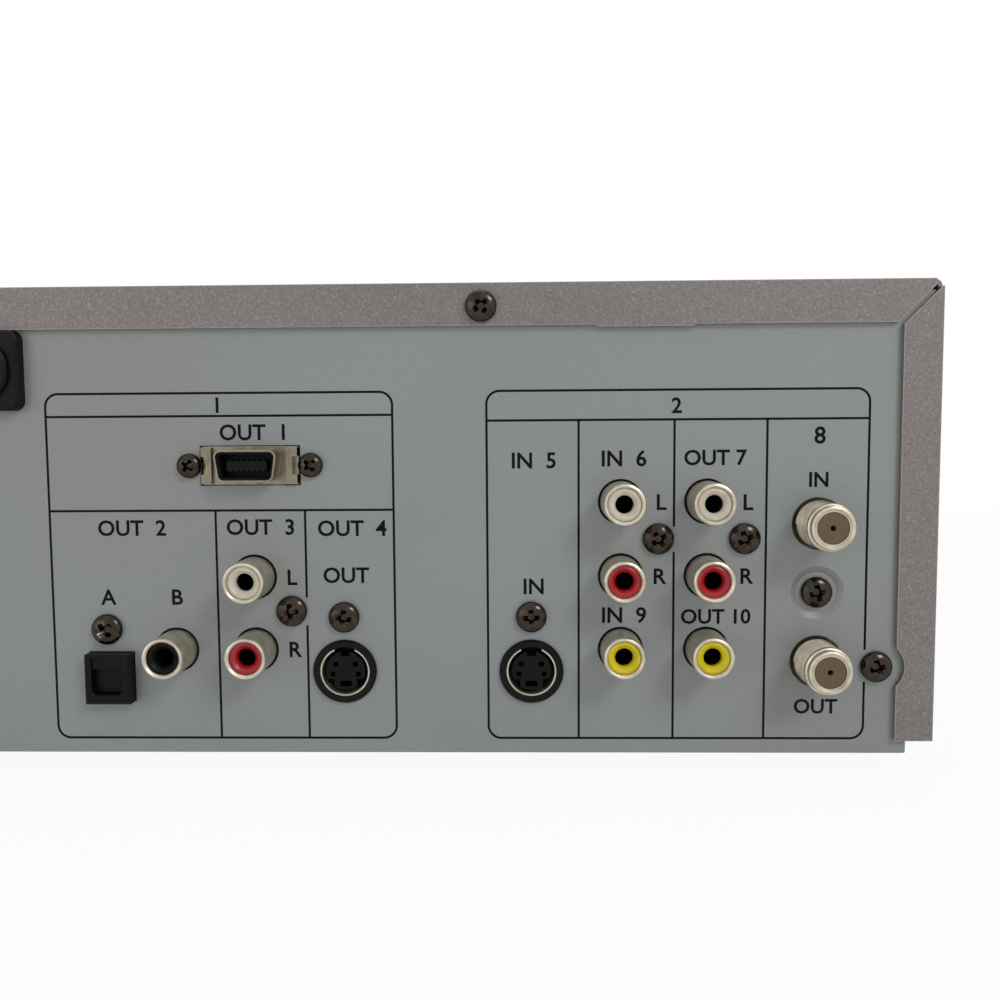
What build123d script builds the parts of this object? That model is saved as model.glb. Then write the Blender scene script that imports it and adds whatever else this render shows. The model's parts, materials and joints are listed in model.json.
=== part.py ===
from build123d import *
import os
from math import atan2, cos, degrees, hypot, radians, sin

# Disc and cassette player, in millimetres.
# X across (seen from behind, right is -X), Y from front to back, Z up, feet on Z = 0.

# ---- casing
WIDTH = 430.0            # over the cover
DEPTH = 350.0            # button faces to antenna socket noses
BODY_HEIGHT = 95.0       # rear panel's lower edge to the cover's top
FOOT_HEIGHT = 5.0
FOOT_RADIUS = 10.0
COVER_WALL = 0.8
SHEET = 1.0              # chassis and rear panel
MOULD_WALL = 2.5         # front moulding
SEAT = 0.3               # gap where shells meet
COVER_RADIUS = 1.5
COVER_LIFT = 2.8         # cover's lower edge above the chassis' underside
SIDE_FLANGE = 7.6
TOP_FLANGE = 8.4
MITRE_GAP = 1.0
CORNER_RELIEF = 1.5      # square hole where the flanges' bends meet
FLANGE_TAB = (48.5, 67.6)   # from the -X side
FLANGE_TAB_DROP = 0.4
PANEL_MARGIN = 4.7       # rear panel's end inside the cover's outer side
PANEL_RETURN = 8.0       # depth of the rear panel's turned edges
PANEL_EAR = (1.3, 12.0)  # inside the cover's outer side, height below the top
CHASSIS_WALL = 24.0
FRONT_DEPTH = 20.9       # depth of the front moulding
LIP_LENGTH = 6.0
LIP_WALL = 1.5
VENT_WIDTH = 2.4
VENT_HEIGHT = 14.0
VENT_PITCH = 6.0

# ---- screws
SCREW_HEAD_RADIUS = 3.15
SCREW_HEAD = 1.9
SCREW_SHAFT = 1.45
SCREW_LENGTH = 7.0
SCREW_PLAY = 0.25
SMALL_HEAD_RADIUS = 2.5
SCALLOP_RADIUS = 5.4

# ---- rear sockets: distance in from the -X side, height above the chassis' underside
CORNER_SCREW = (11.35, 17.9)
FLANGE_SCREW = (90.5, 90.4)
ANTENNA_COLUMN = 23.3
ANTENNA_LOW = 18.95
ANTENNA_PITCH = 28.0
ANTENNA_RADIUS = 4.7
ANTENNA_NOSE = 9.7       # outside the panel
ANTENNA_TAPER = 1.8      # from the tip back to the full barrel
DIELECTRIC_RADIUS = 3.1
DIMPLE_OUTER = 5.4
DIMPLE_FLOOR = 4.1
DIMPLE_DEPTH = 0.9
OUT_COLUMN = 45.5
IN_COLUMN = 62.75
LEFT_COLUMN = 137.1
COAX_COLUMN = 153.5
PHONO_LOW = 21.5
PHONO_PITCH = 15.0
PHONO_RADIUS = 4.15
PHONO_WALL = 0.9
PHONO_NOSE = 8.6
PHONO_BORE = 1.8
INSERT_DEPTH = 2.6       # coloured ring at a socket's mouth
PHONO_FIT = 0.05
PHONO_HOLE = 4.6
BLOCK_DEPTH = 12.0
BLOCK_HALF = 6.0
SCREW_OFFSET = 7.5
LEFT_SCREW_RISE = 0.5
DIN_COLUMNS = (80.8, 118.9)
DIN_HEIGHT = 17.0
DIN_RADIUS = 6.5
DIN_RING = 5.05
DIN_CORE = 4.0
DIN_CONTACTS = ((2.05, 1.35), (2.6, -0.7))
DIN_CONTACT = 1.0
DIN_KEY = (2.4, 1.2)
DIN_KEY_DROP = 2.7
DIN_NOTCHES = ((0.0, 3.9), (3.2, -2.6), (-3.2, -2.6))
DIN_NOTCH = 1.8
DIN_SCREW_RISE = 11.2
OPTICAL_COLUMN = 167.0
OPTICAL_HEIGHT = 15.9
OPTICAL_SIZE = (9.2, 10.2)
OPTICAL_PROUD = 3.0
OPTICAL_PORT = (6.4, 7.6)
OPTICAL_PORT_RISE = 0.6  # port's middle above the body's
OPTICAL_KEY = 0.9        # chamfer of the mouth's lower corners
OPTICAL_SCREW = (0.7, 9.9)     # across and above the body's middle
SHUTTER_AXIS = (1.6, 1.15)     # behind the face, below the port's top
SHUTTER_BARREL = 1.0
SHUTTER_WALL = 0.8
TRAPEZOID_COLUMN = 137.4
TRAPEZOID_HEIGHT = 59.2
TRAPEZOID_CUTOUT = (20.4, 8.1)
TRAPEZOID_NOSE = (12.8, 10.9, 6.3)
TRAPEZOID_WALL = 0.3
TRAPEZOID_PLATE = 14.8
TRAPEZOID_LUG = (2.0, 8.7)   # width, place from the middle
TONGUE = (8.0, 1.8)
TONGUE_CONTACTS = 7
TONGUE_PITCH = 1.1
TRAPEZOID_SCREWS = 12.3
TRAPEZOID_PROUD = 4.0
INLET_COLUMN = 195.8
INLET_GAP = 0.1          # under the cover's flange
INLET_SIZE = (26.0, 16.0)
INLET_RIM = 2.8
INLET_COLLAR = (22.6, 12.0)
INLET_PROUD = 4.0
INLET_LOBE = 4.3
INLET_PIN_SPACING = 8.6
BOARD_HEIGHT = 8.0       # circuit board above the chassis' underside
BOARD = 1.6
BOARD_GAP = 8.3          # behind the cassette deck
CHIP = 1.8
CHIPS = ((155.0, 22.0), (105.0, 18.0), (205.0, 14.0))   # from the -X side, width
CAPACITORS = (55.0, 26.0, 5)   # first from the -X side, pitch, count
CAPACITOR_HEIGHT = 9.0
TUNER_HALF = 9.2
TUNER_GAP = 1.3
POWER_BOARD = (64.0, 68.0)     # either side of the loader's middle
POWER_GAPS = (30.0, 9.3)       # behind the loader, before the rear panel
POST_INSET = 6.0
POST_RADIUS = 3.0

# ---- front face: places from the middle, heights above the chassis' underside
BUTTON_PROUD = 1.5
BUTTON_TRAVEL = 0.8
BUTTON_PLAY = 0.25
BUTTON_ROW = 31.0
WINDOW = (120.0, 26.0)
WINDOW_WALL = 2.0
WINDOW_HEIGHT = 31.0
SOCKET_ROW = 31.0

# ---- cassette deck
DECK_FROM_SIDE = 109.0
CASSETTE = (188.0, 104.0, 25.0)
CASSETTE_PLAY = 0.75
CARRIAGE_WALL = 1.0
CARRIAGE_SETBACK = 33.5  # carriage's front behind the front face
CARRIAGE_RISE = 52.0
CARRIAGE_IN = 60.0
CARRIAGE_DOWN = 18.0
CARRIAGE_PIN = 1.5
RUN = 0.3                # running gap of the carriage and its slider
FLAP_PLAY = 0.4
FLAP_HINGE = 0.8
FLAP_FIT = 0.05
DECK_RISE = 15.0
DECK_SHEET = 1.2
DRUM_RADIUS = 31.0
DRUM_TILT = 5.9
DRUM_SETBACK = 235.5
DECK_TAIL = 42.0         # drum's middle to the deck's rear edge
REEL_SPACING = 92.0
REEL_SETBACK = 140.5
AXLE = 1.5
AXLE_FIT = 0.05
CAPSTAN_OFFSET = (44.0, 183.5)
PINCH_RADIUS = 7.0
PINCH_PIVOT = (68.0, 199.5)
PINCH_SWING = 25.0
PINCH_GAP = 0.1

# ---- disc loader
LOADER_FROM_SIDE = 89.0
TRAY = (130.0, 165.0, 6.0)
TRAY_TRAVEL = 135.0
TRAY_RISE = 64.0
TRAY_SLOT = (134.0, 14.4)
DISC_RADIUS = 60.5
DISC_SETBACK = 78.5
LOADER_WALL = 2.0
LOADER_LENGTH = 188.0
TURNTABLE_RADIUS = 15.0
HUB_RADIUS = 7.4
TRAY_WELL = 24.0         # half width of the tray's slot
TRAVERSE_PIVOT = 177.5
TRAVERSE_WIDTH = 52.0
TRAVERSE_PIN = 2.0
ROD_SPACING = 36.0
SLED_INNER = 24.0        # lens from the spindle
SLED_TRAVEL = 34.0
PUCK_RADIUS = 13.0

# ---- worked-out places
HALF = WIDTH / 2
BASE = FOOT_HEIGHT
TOP = BASE + BODY_HEIGHT
BACK = DEPTH / 2 - ANTENNA_NOSE      # rear panel's outer face
INNER_BACK = BACK - SHEET
FRONT = BUTTON_PROUD - DEPTH / 2     # front face
FRONT_INSIDE = FRONT + MOULD_WALL
FRONT_END = FRONT + FRONT_DEPTH
COVER_LOW = BASE + COVER_LIFT
COVER_FRONT = FRONT_END + SEAT
COVER_BACK = BACK + SEAT + COVER_WALL
CHASSIS_HALF = HALF - COVER_WALL - SEAT
PANEL_HALF = HALF - PANEL_MARGIN
INLET_HEIGHT = BODY_HEIGHT - TOP_FLANGE - INLET_GAP - INLET_SIZE[1] / 2
PANEL_TOP = TOP - COVER_WALL - SEAT
FLOOR = BASE + SHEET
BOARD_TOP = BASE + BOARD_HEIGHT + BOARD
BLOCK_BACK = INNER_BACK - BLOCK_DEPTH
ANTENNA_Z = [BASE + ANTENNA_LOW + i * ANTENNA_PITCH for i in range(2)]
DIMPLE_Z = sum(ANTENNA_Z) / 2
PHONO_Z = [BASE + PHONO_LOW + i * PHONO_PITCH for i in range(3)]
CORE_RADIUS = PHONO_RADIUS - PHONO_WALL - PHONO_FIT
DECK_X = DECK_FROM_SIDE - HALF
DECK_TOP = BASE + DECK_RISE + DECK_SHEET
CARRIAGE_HALF = CASSETTE[0] / 2 + CASSETTE_PLAY + CARRIAGE_WALL
SLIDER_HALF = CARRIAGE_HALF + RUN + COVER_WALL
FRAME_HALF = SLIDER_HALF + RUN + CARRIAGE_WALL
CARRIAGE_LOW = BASE + CARRIAGE_RISE
CARRIAGE_TOP = CARRIAGE_LOW + CASSETTE[2] + 2 * CASSETTE_PLAY + 2 * CARRIAGE_WALL
CARRIAGE_FRONT = FRONT + CARRIAGE_SETBACK
CARRIAGE_BACK = CARRIAGE_FRONT + CASSETTE[1]
PIN_Y = CARRIAGE_FRONT + CASSETTE[1] / 2
PIN_Z = CARRIAGE_TOP - 10.0
SLOT_HALF = CARRIAGE_HALF + 1.2
SLOT_LOW = CARRIAGE_LOW - 0.5
SLOT_TOP = CARRIAGE_TOP + 2.3
FLAP_HALF = SLOT_HALF - FLAP_PLAY
FLAP_TOP = SLOT_TOP - FLAP_PLAY
FLAP_AXIS = (FRONT + MOULD_WALL / 2, FLAP_TOP - 1.5)
DRUM_Y = FRONT + DRUM_SETBACK
DECK_BACK = DRUM_Y + DECK_TAIL
BOARD_FRONT = DECK_BACK + BOARD_GAP
BOARD_ROOM = BLOCK_BACK - BOARD_FRONT
REEL_Y = FRONT + REEL_SETBACK
CAPSTAN = (DECK_X + CAPSTAN_OFFSET[0], FRONT + CAPSTAN_OFFSET[1])
PIVOT = (DECK_X + PINCH_PIVOT[0], FRONT + PINCH_PIVOT[1])
TOUCH = (CAPSTAN[0] + AXLE + PINCH_RADIUS + PINCH_GAP, CAPSTAN[1])
ARM_LENGTH = hypot(TOUCH[0] - PIVOT[0], TOUCH[1] - PIVOT[1])
ARM_ANGLE = atan2(TOUCH[1] - PIVOT[1], TOUCH[0] - PIVOT[0]) + radians(PINCH_SWING)
ROLLER = (PIVOT[0] + ARM_LENGTH * cos(ARM_ANGLE), PIVOT[1] + ARM_LENGTH * sin(ARM_ANGLE))
LOADER_X = HALF - LOADER_FROM_SIDE
LOADER_FRONT = FRONT_INSIDE + 13.0
LOADER_BACK = LOADER_FRONT + LOADER_LENGTH
LOADER_HALF = TRAY[0] / 2 + 7.0 + LOADER_WALL
POWER_FRONT = LOADER_BACK + POWER_GAPS[0]
POWER_BACK = INNER_BACK - POWER_GAPS[1]
POWER_Y = (POWER_FRONT + POWER_BACK) / 2
TRAY_FRONT = FRONT_INSIDE + 1.0
TRAY_LOW = BASE + TRAY_RISE
TRAY_TOP = TRAY_LOW + TRAY[2]
TRAY_MIDDLE = TRAY_LOW + TRAY[2] / 2 + 1.0
LOADER_FLOOR = TRAY_LOW - 11.0
SPINDLE_Y = FRONT + DISC_SETBACK
TRAVERSE_Y = FRONT + TRAVERSE_PIVOT
TRAVERSE_TOP = TRAY_LOW - 6.5
TRAVERSE_SHEET = 3.0
PIVOT_Z = TRAVERSE_TOP - TRAVERSE_SHEET / 2
ROD_Z = TRAVERSE_TOP + 2.5
BRIDGE_TOP = TRAY_TOP + 11.0
BRIDGE_LOW = BRIDGE_TOP - LOADER_WALL
BOARD_Y = FRONT + 8.5


# ---- shapes
def block(x0, x1, y0, y1, z0, z1):
    middle = Pos((x0 + x1) / 2, (y0 + y1) / 2, (z0 + z1) / 2)
    return middle * Box(x1 - x0, y1 - y0, z1 - z0)


def plate_x(outline, x0, x1):
    return extrude(Plane.YZ.offset(x0) * outline, x1 - x0)


def plate_y(outline, y0, y1):
    return extrude(Plane.XZ.offset(-y1) * outline, y1 - y0)


def plate_z(outline, z0, z1):
    return extrude(Plane.XY.offset(z0) * outline, z1 - z0)


def rod_x(y, z, radius, x0, x1):
    return plate_x(Pos(y, z) * Circle(radius), x0, x1)


def rod_y(x, z, radius, y0, y1):
    return plate_y(Pos(x, z) * Circle(radius), y0, y1)


def rod_z(x, y, radius, z0, z1):
    return plate_z(Pos(x, y) * Circle(radius), z0, z1)


def turned_y(x, z, points):
    """A turned piece on an axis along Y; points are (radius, y)."""
    return Pos(x, 0, z) * revolve(make_face(Polyline(*points, close=True)), Axis.Y)


def turned_z(x, y, points):
    """A turned piece on an upright axis; points are (radius, z)."""
    outline = Plane.XZ * make_face(Polyline(*points, close=True))
    return Pos(x, y, 0) * revolve(outline, Axis.Z)


def column(distance):
    return distance - HALF


def rounded(width, height, radius):
    return RectangleRounded(width, height, radius)


def mirrored(x):
    return (x, -x)


# ---- places of the screws on the rear panel: (x, z, face they seat on)
def rear_screw_places():
    corner = [(x, BASE + CORNER_SCREW[1], BACK) for x in mirrored(column(CORNER_SCREW[0]))]
    flange = [(x, BASE + FLANGE_SCREW[1], COVER_BACK) for x in mirrored(column(FLANGE_SCREW[0]))]
    blocks = ((IN_COLUMN, (0, 1, 2)), (OUT_COLUMN, (0, 1, 2)), (LEFT_COLUMN, (0, 1)))
    phono = [(*block_screw_place(distance, rows), BACK) for distance, rows in blocks]
    din = [(column(c), BASE + DIN_HEIGHT + DIN_SCREW_RISE, BACK) for c in DIN_COLUMNS]
    optical = [(column(OPTICAL_COLUMN) + OPTICAL_SCREW[0], BASE + OPTICAL_HEIGHT + OPTICAL_SCREW[1], BACK)]
    dimple = [(column(ANTENNA_COLUMN), DIMPLE_Z, BACK - DIMPLE_DEPTH)]
    return corner + flange + phono + din + optical + dimple


def block_screw_place(distance, rows):
    """(x, z) of the screw beside a column's upper two sockets."""
    rise = LEFT_SCREW_RISE if distance == LEFT_COLUMN else 0
    return column(distance) - SCREW_OFFSET, (PHONO_Z[rows[-1]] + PHONO_Z[rows[-2]]) / 2 + rise


def screw_y(x, z, seat, radius=SCREW_HEAD_RADIUS, shaft=SCREW_SHAFT):
    tip = seat - SCREW_LENGTH
    crown = seat + SCREW_HEAD
    points = [(0, tip), (shaft, tip), (shaft, seat), (radius, seat), (radius, seat + 0.7)]
    points += [(radius * 0.86, crown - 0.45), (radius * 0.5, crown), (0, crown)]
    return turned_y(x, z, points)


def screw_holes_y(places, y0, y1):
    return [rod_y(x, z, SCREW_SHAFT + SCREW_PLAY, y0, y1) for x, z, seat in places]


def phono_sockets():
    """(x, z, colour) of each rear phono socket with a coloured insert."""
    left, inward, outward = column(LEFT_COLUMN), column(IN_COLUMN), column(OUT_COLUMN)
    sockets = [(left, PHONO_Z[0], "red"), (left, PHONO_Z[1], "white")]
    for x in (inward, outward):
        sockets += [(x, z, c) for z, c in zip(PHONO_Z, ("yellow", "red", "white"))]
    return sockets


def front_sockets():
    middle = LOADER_X + 62.0
    z = BASE + SOCKET_ROW
    return [(middle + i * 14.0, z, c) for i, c in zip((-1, 0, 1), ("yellow", "white", "red"))]


# ---- casing
def hood_outline(inset):
    height = TOP - inset - COVER_LOW
    outline = Pos(0, COVER_LOW + height / 2) * Rectangle(WIDTH - 2 * inset, height)
    corners = outline.vertices().group_by(Axis.Y)[-1]
    return fillet(corners, COVER_RADIUS - inset)


def top_cover():
    skirt = plate_y(hood_outline(0) - hood_outline(COVER_WALL), COVER_FRONT, COVER_BACK)
    opening_half = HALF - SIDE_FLANGE
    opening_top = TOP - TOP_FLANGE
    opening = Pos(0, opening_top / 2) * Rectangle(2 * opening_half, opening_top)
    flange = hood_outline(0) - opening
    for side in (1, -1):
        slit = Pos(side * (HALF - SIDE_FLANGE / 2), TOP - TOP_FLANGE / 2)
        flange -= slit * Rot(0, 0, side * 45) * Rectangle(3 * SIDE_FLANGE, MITRE_GAP)
        corner = Pos(side * -column(CORNER_SCREW[0]), BASE + CORNER_SCREW[1])
        flange -= corner * Circle(SCALLOP_RADIUS)
    tab_half = (FLANGE_TAB[1] - FLANGE_TAB[0]) / 2
    tab = Pos(column(FLANGE_TAB[0]) + tab_half, opening_top) * Rectangle(2 * tab_half, 2 * FLANGE_TAB_DROP)
    hood = skirt + plate_y(flange + tab, BACK + SEAT, COVER_BACK)
    for side in (1, -1):
        relief = sorted((side * (HALF - CORNER_RELIEF), side * (HALF + 1)))
        hood -= block(*relief, BACK, COVER_BACK + 1, TOP - CORNER_RELIEF, TOP + 1)
    upper = [p for p in rear_screw_places() if p[1] > opening_top]
    hood -= screw_holes_y(upper, BACK, COVER_BACK + 1)
    for y, z in side_screw_places():
        hood -= rod_x(y, z, SCREW_SHAFT + SCREW_PLAY, -HALF - 1, HALF + 1)
    for row in range(2):
        low = TOP - 26.0 - row * (VENT_HEIGHT + 5)
        for i in range(12):
            y = 10.0 + i * VENT_PITCH
            hood -= block(-HALF - 1, HALF + 1, y, y + VENT_WIDTH, low, low + VENT_HEIGHT)
    return hood


def side_screw_places():
    return [(y, BASE + 13.0) for y in (FRONT + 50.0, BACK - 45.0)]


def rear_cutouts():
    cuts = screw_holes_y(rear_screw_places(), BLOCK_BACK, COVER_BACK)
    coax = [(column(COAX_COLUMN), PHONO_Z[0], "black")]
    for x, z, colour in phono_sockets() + coax:
        cuts.append(rod_y(x, z, PHONO_HOLE, BLOCK_BACK, COVER_BACK))
    for z in ANTENNA_Z:
        cuts.append(rod_y(column(ANTENNA_COLUMN), z, ANTENNA_RADIUS + 0.6, BLOCK_BACK, COVER_BACK))
    for c in DIN_COLUMNS:
        cuts.append(rod_y(column(c), BASE + DIN_HEIGHT, DIN_RADIUS - 0.6, BLOCK_BACK, COVER_BACK))
    boxes = [(OPTICAL_COLUMN, OPTICAL_HEIGHT, OPTICAL_SIZE[0] + 0.3, OPTICAL_SIZE[1] + 0.3),
             (TRAPEZOID_COLUMN, TRAPEZOID_HEIGHT, *TRAPEZOID_CUTOUT),
             (INLET_COLUMN, INLET_HEIGHT, INLET_SIZE[0] - 2.6, INLET_SIZE[1] - 2.0)]
    for distance, height, wide, tall in boxes:
        hole = Pos(column(distance), BASE + height) * Rectangle(wide, tall)
        cuts.append(plate_y(hole, BLOCK_BACK, COVER_BACK))
    for side in (1, -1):
        x, z = side * TRAPEZOID_SCREWS + column(TRAPEZOID_COLUMN), BASE + TRAPEZOID_HEIGHT
        cuts.append(rod_y(x, z, SCREW_SHAFT, BLOCK_BACK, COVER_BACK))
    return cuts


def rear_vents():
    slots = []
    for row in range(3):
        z = BASE + 24.0 + row * (VENT_HEIGHT + 5)
        for i in range(14):
            x = HALF - 130.0 + i * VENT_PITCH
            slots.append(block(x, x + VENT_WIDTH, INNER_BACK - 1, BACK + 1, z, z + VENT_HEIGHT))
    return slots


def rear_panel():
    tray = block(-PANEL_HALF, PANEL_HALF, BACK - PANEL_RETURN, BACK, BASE, PANEL_TOP)
    outer = tray.edges().filter_by(Axis.Z).group_by(Axis.Y)[-1]
    outer += tray.edges().filter_by(Axis.X).group_by(Axis.Z)[-1].sort_by(Axis.Y)[-1:]
    tray = fillet(outer, SHEET)
    half, top = PANEL_HALF - SHEET, PANEL_TOP - SHEET
    tray -= block(-half, half, BACK - PANEL_RETURN - 1, INNER_BACK, BASE - 1, top)
    for side in (1, -1):
        edge = sorted((side * (half - 1), side * (PANEL_HALF + 1)))
        tray -= block(*edge, BACK - PANEL_RETURN - 1, INNER_BACK, BASE - 1, FLOOR + SEAT)
        ear = sorted((side * (half - 1), side * (HALF - PANEL_EAR[0])))
        tray += block(*ear, INNER_BACK, BACK, PANEL_TOP - PANEL_EAR[1], PANEL_TOP - SHEET)
    x, floor = column(ANTENNA_COLUMN), BACK - DIMPLE_DEPTH
    cup = [(0, floor - SHEET), (DIMPLE_FLOOR + SHEET / 2, floor - SHEET)]
    cup += [(DIMPLE_OUTER + SHEET / 2, INNER_BACK + 0.1), (0, INNER_BACK + 0.1)]
    tray += turned_y(x, DIMPLE_Z, cup)
    dish = [(0, floor), (DIMPLE_FLOOR, floor), (DIMPLE_OUTER, BACK), (DIMPLE_OUTER, BACK + 1)]
    tray -= turned_y(x, DIMPLE_Z, dish + [(0, BACK + 1)])
    return tray - rear_cutouts() - rear_vents()


def bottom_chassis():
    front = FRONT_END + SEAT
    pan = block(-CHASSIS_HALF, CHASSIS_HALF, front, INNER_BACK, BASE, FLOOR)
    for side in (1, -1):
        wall = sorted((side * CHASSIS_HALF, side * (CHASSIS_HALF - SHEET)))
        pan += block(*wall, front + LIP_LENGTH + 1, INNER_BACK - 2, BASE, BASE + CHASSIS_WALL)
        x = side * -column(CORNER_SCREW[0])
        tab = block(x - 4.5, x + 1.75, INNER_BACK - SHEET, INNER_BACK, BASE, BASE + CHASSIS_WALL)
        if side < 0:
            tab = block(x - 1.75, x + 4.5, INNER_BACK - SHEET, INNER_BACK, BASE, BASE + CHASSIS_WALL)
        pan += tab
        corner = sorted((side * PANEL_HALF, side * HALF))
        pan -= block(*corner, INNER_BACK - 10, BACK, BASE - 1, BASE + CHASSIS_WALL + 1)
    for x in (-150.0, -60.0, 40.0, 150.0):
        pan += block(x - 4, x + 4, front + 12, INNER_BACK - 70, FLOOR, FLOOR + 1.0)
        pan -= block(x - 3, x + 3, front + 13, INNER_BACK - 71, BASE - 1, BASE + 0.8)
    for x, y in board_posts():
        pan += rod_z(x, y, POST_RADIUS, FLOOR, BASE + BOARD_HEIGHT)
    for i in range(16):
        x = HALF - 150.0 + i * VENT_PITCH
        y = POWER_FRONT + POST_INSET
        pan -= block(x, x + VENT_WIDTH, y, y + 2 * VENT_HEIGHT, BASE - 1, FLOOR + 2)
    pan -= screw_holes_y(rear_screw_places(), INNER_BACK - 3, BACK)
    for y, z in side_screw_places():
        pan -= rod_x(y, z, SCREW_SHAFT, -HALF, HALF)
    return pan


def board_posts():
    main = [(x, y) for x in (-HALF + 14, 28.0) for y in (BOARD_FRONT + POST_INSET, INNER_BACK - 10)]
    ends = (LOADER_X - POWER_BOARD[0] + POST_INSET, LOADER_X + POWER_BOARD[1] - POST_INSET)
    power = [(x, y) for x in ends for y in (POWER_FRONT + POST_INSET, POWER_BACK - POST_INSET)]
    return main + power


def feet():
    rings = []
    for x in mirrored(HALF - 35.0):
        for y in (FRONT + 44.0, BACK - 45.0):
            points = [(4.0, 0), (FOOT_RADIUS - 1, 0), (FOOT_RADIUS, 1.2), (FOOT_RADIUS - 0.6, BASE)]
            rings.append(turned_z(x, y, points + [(0, BASE), (0, 1.6), (4.0, 1.6)]))
    return rings


def front_panel():
    shell = block(-HALF, HALF, FRONT, FRONT_END, BASE, TOP)
    rim = shell.edges().group_by(Axis.Y)[0]
    sides = shell.edges().filter_by(Axis.Y).group_by(Axis.Z)[-1]
    shell = fillet(rim + sides, COVER_RADIUS - 0.5)
    inner = HALF - MOULD_WALL
    shell -= block(-inner, inner, FRONT_INSIDE, FRONT_END + 1, BASE + MOULD_WALL, TOP - MOULD_WALL)
    lip_half, lip_top = CHASSIS_HALF, TOP - COVER_WALL - SEAT
    lip = block(-lip_half, lip_half, FRONT_END - 3, FRONT_END + LIP_LENGTH, COVER_LOW + 1, lip_top)
    lip = fillet(lip.edges().filter_by(Axis.Y).group_by(Axis.Z)[-1], COVER_RADIUS)
    lip -= block(-lip_half + LIP_WALL, lip_half - LIP_WALL, FRONT_END - 4,
                 FRONT_END + LIP_LENGTH + 1, BASE, lip_top - LIP_WALL)
    shell += lip
    slot_z = (SLOT_LOW + SLOT_TOP) / 2
    openings = [(DECK_X, slot_z, 2 * SLOT_HALF, SLOT_TOP - SLOT_LOW),
                (LOADER_X, TRAY_MIDDLE, *TRAY_SLOT),
                (0, BASE + WINDOW_HEIGHT, WINDOW[0] - 4, WINDOW[1] - 4)]
    for x, z, wide, tall in openings:
        shell -= plate_y(Pos(x, z) * rounded(wide, tall, 0.8), FRONT - 1, FRONT_INSIDE + 1)
    window = Pos(0, BASE + WINDOW_HEIGHT) * rounded(WINDOW[0] + 0.4, WINDOW[1] + 0.4, 2)
    shell -= plate_y(window, FRONT - 1, FRONT + WINDOW_WALL)
    for name, x, z, cap in buttons():
        shell -= plate_y(Pos(x, z) * offset(cap, BUTTON_PLAY), FRONT - 1, FRONT_INSIDE + 1)
    for x, z, colour in front_sockets():
        shell -= rod_y(x, z, PHONO_HOLE, FRONT - 1, FRONT_INSIDE + 1)
    for x in (-HALF + 12.0, -68.0, 68.0, LOADER_X + 33.0):
        for z in (BASE + 11.0, BASE + 45.0):
            shell += rod_y(x, z, 2.5, FRONT_INSIDE, BOARD_Y)
    y, z = FLAP_AXIS
    reach = FLAP_HALF + 3.0
    shell -= rod_x(y, z, FLAP_HINGE + FLAP_FIT, DECK_X - reach, DECK_X + reach)
    return shell


def display_window():
    pane = Pos(0, BASE + WINDOW_HEIGHT) * rounded(WINDOW[0], WINDOW[1], 1.8)
    return plate_y(pane, FRONT + 0.2, FRONT + WINDOW_WALL)


def cassette_flap():
    z0 = SLOT_LOW + FLAP_PLAY
    flap = block(DECK_X - FLAP_HALF, DECK_X + FLAP_HALF, FRONT + 0.15, FRONT_INSIDE - 0.15, z0, FLAP_TOP)
    flap = fillet(flap.edges().filter_by(Axis.X).group_by(Axis.Z)[-1], 1.0)
    grip = block(DECK_X - 40, DECK_X + 40, FRONT, FRONT + 0.8, z0 + 2, z0 + 5)
    flap -= grip
    y, z = FLAP_AXIS
    reach = FLAP_HALF + 2.4
    return flap + rod_x(y, z, FLAP_HINGE, DECK_X - reach, DECK_X + reach)


def buttons():
    """(node, x, z, outline of the cap) of each push button."""
    z = BASE + BUTTON_ROW
    key = rounded(15.0, 8.0, 1.5)
    places = [("power_button", -HALF + 22.0, z, Circle(6.5)),
              ("tape_eject_button", 22.0, BASE + 68.0, rounded(20.0, 8.0, 1.5))]
    tape = ("tape_rewind_button", "tape_play_button", "tape_forward_button")
    disc = ("disc_open_button", "disc_play_button", "disc_stop_button")
    places += [(name, DECK_X - 40.0 + i * 22.0, z, key) for i, name in enumerate(tape)]
    places += [(name, LOADER_X - 34.0 + i * 22.0, z, key) for i, name in enumerate(disc)]
    return places


def button(x, z, cap):
    face = FRONT - BUTTON_PROUD
    place = Pos(x, z)
    key = plate_y(place * cap, face, FRONT_INSIDE + SEAT)
    key = chamfer(key.edges().group_by(Axis.Y)[0], 0.4)
    key += plate_y(place * offset(cap, 1.4), FRONT_INSIDE + SEAT, FRONT_INSIDE + SEAT + 1.0)
    return key + plate_y(place * Circle(1.5), FRONT_INSIDE + SEAT, FRONT_INSIDE + 3.8)


def front_board():
    x0, x1 = -HALF + 6.0, LOADER_X + 38.0
    board = block(x0, x1, BOARD_Y, BOARD_Y + BOARD, BASE + 7.0, BASE + 49.0)
    for name, x, z, cap in buttons():
        if z < BASE + 49.0:
            board += block(x - 3, x + 3, FRONT_INSIDE + 3.8 + BUTTON_TRAVEL + SEAT, BOARD_Y, z - 3, z + 3)
    z = BASE + WINDOW_HEIGHT
    board += block(-52, 52, FRONT + WINDOW_WALL + 1, BOARD_Y, z - 9, z + 9)
    return board


def side_screws():
    screws = []
    for y, z in side_screw_places():
        for side in (1, -1):
            raised = screw_y(0, 0, HALF, SCREW_HEAD_RADIUS, SCREW_SHAFT)
            screws.append(Pos(0, y, z) * Rot(0, 0, -90 * side) * raised)
    return screws


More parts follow.
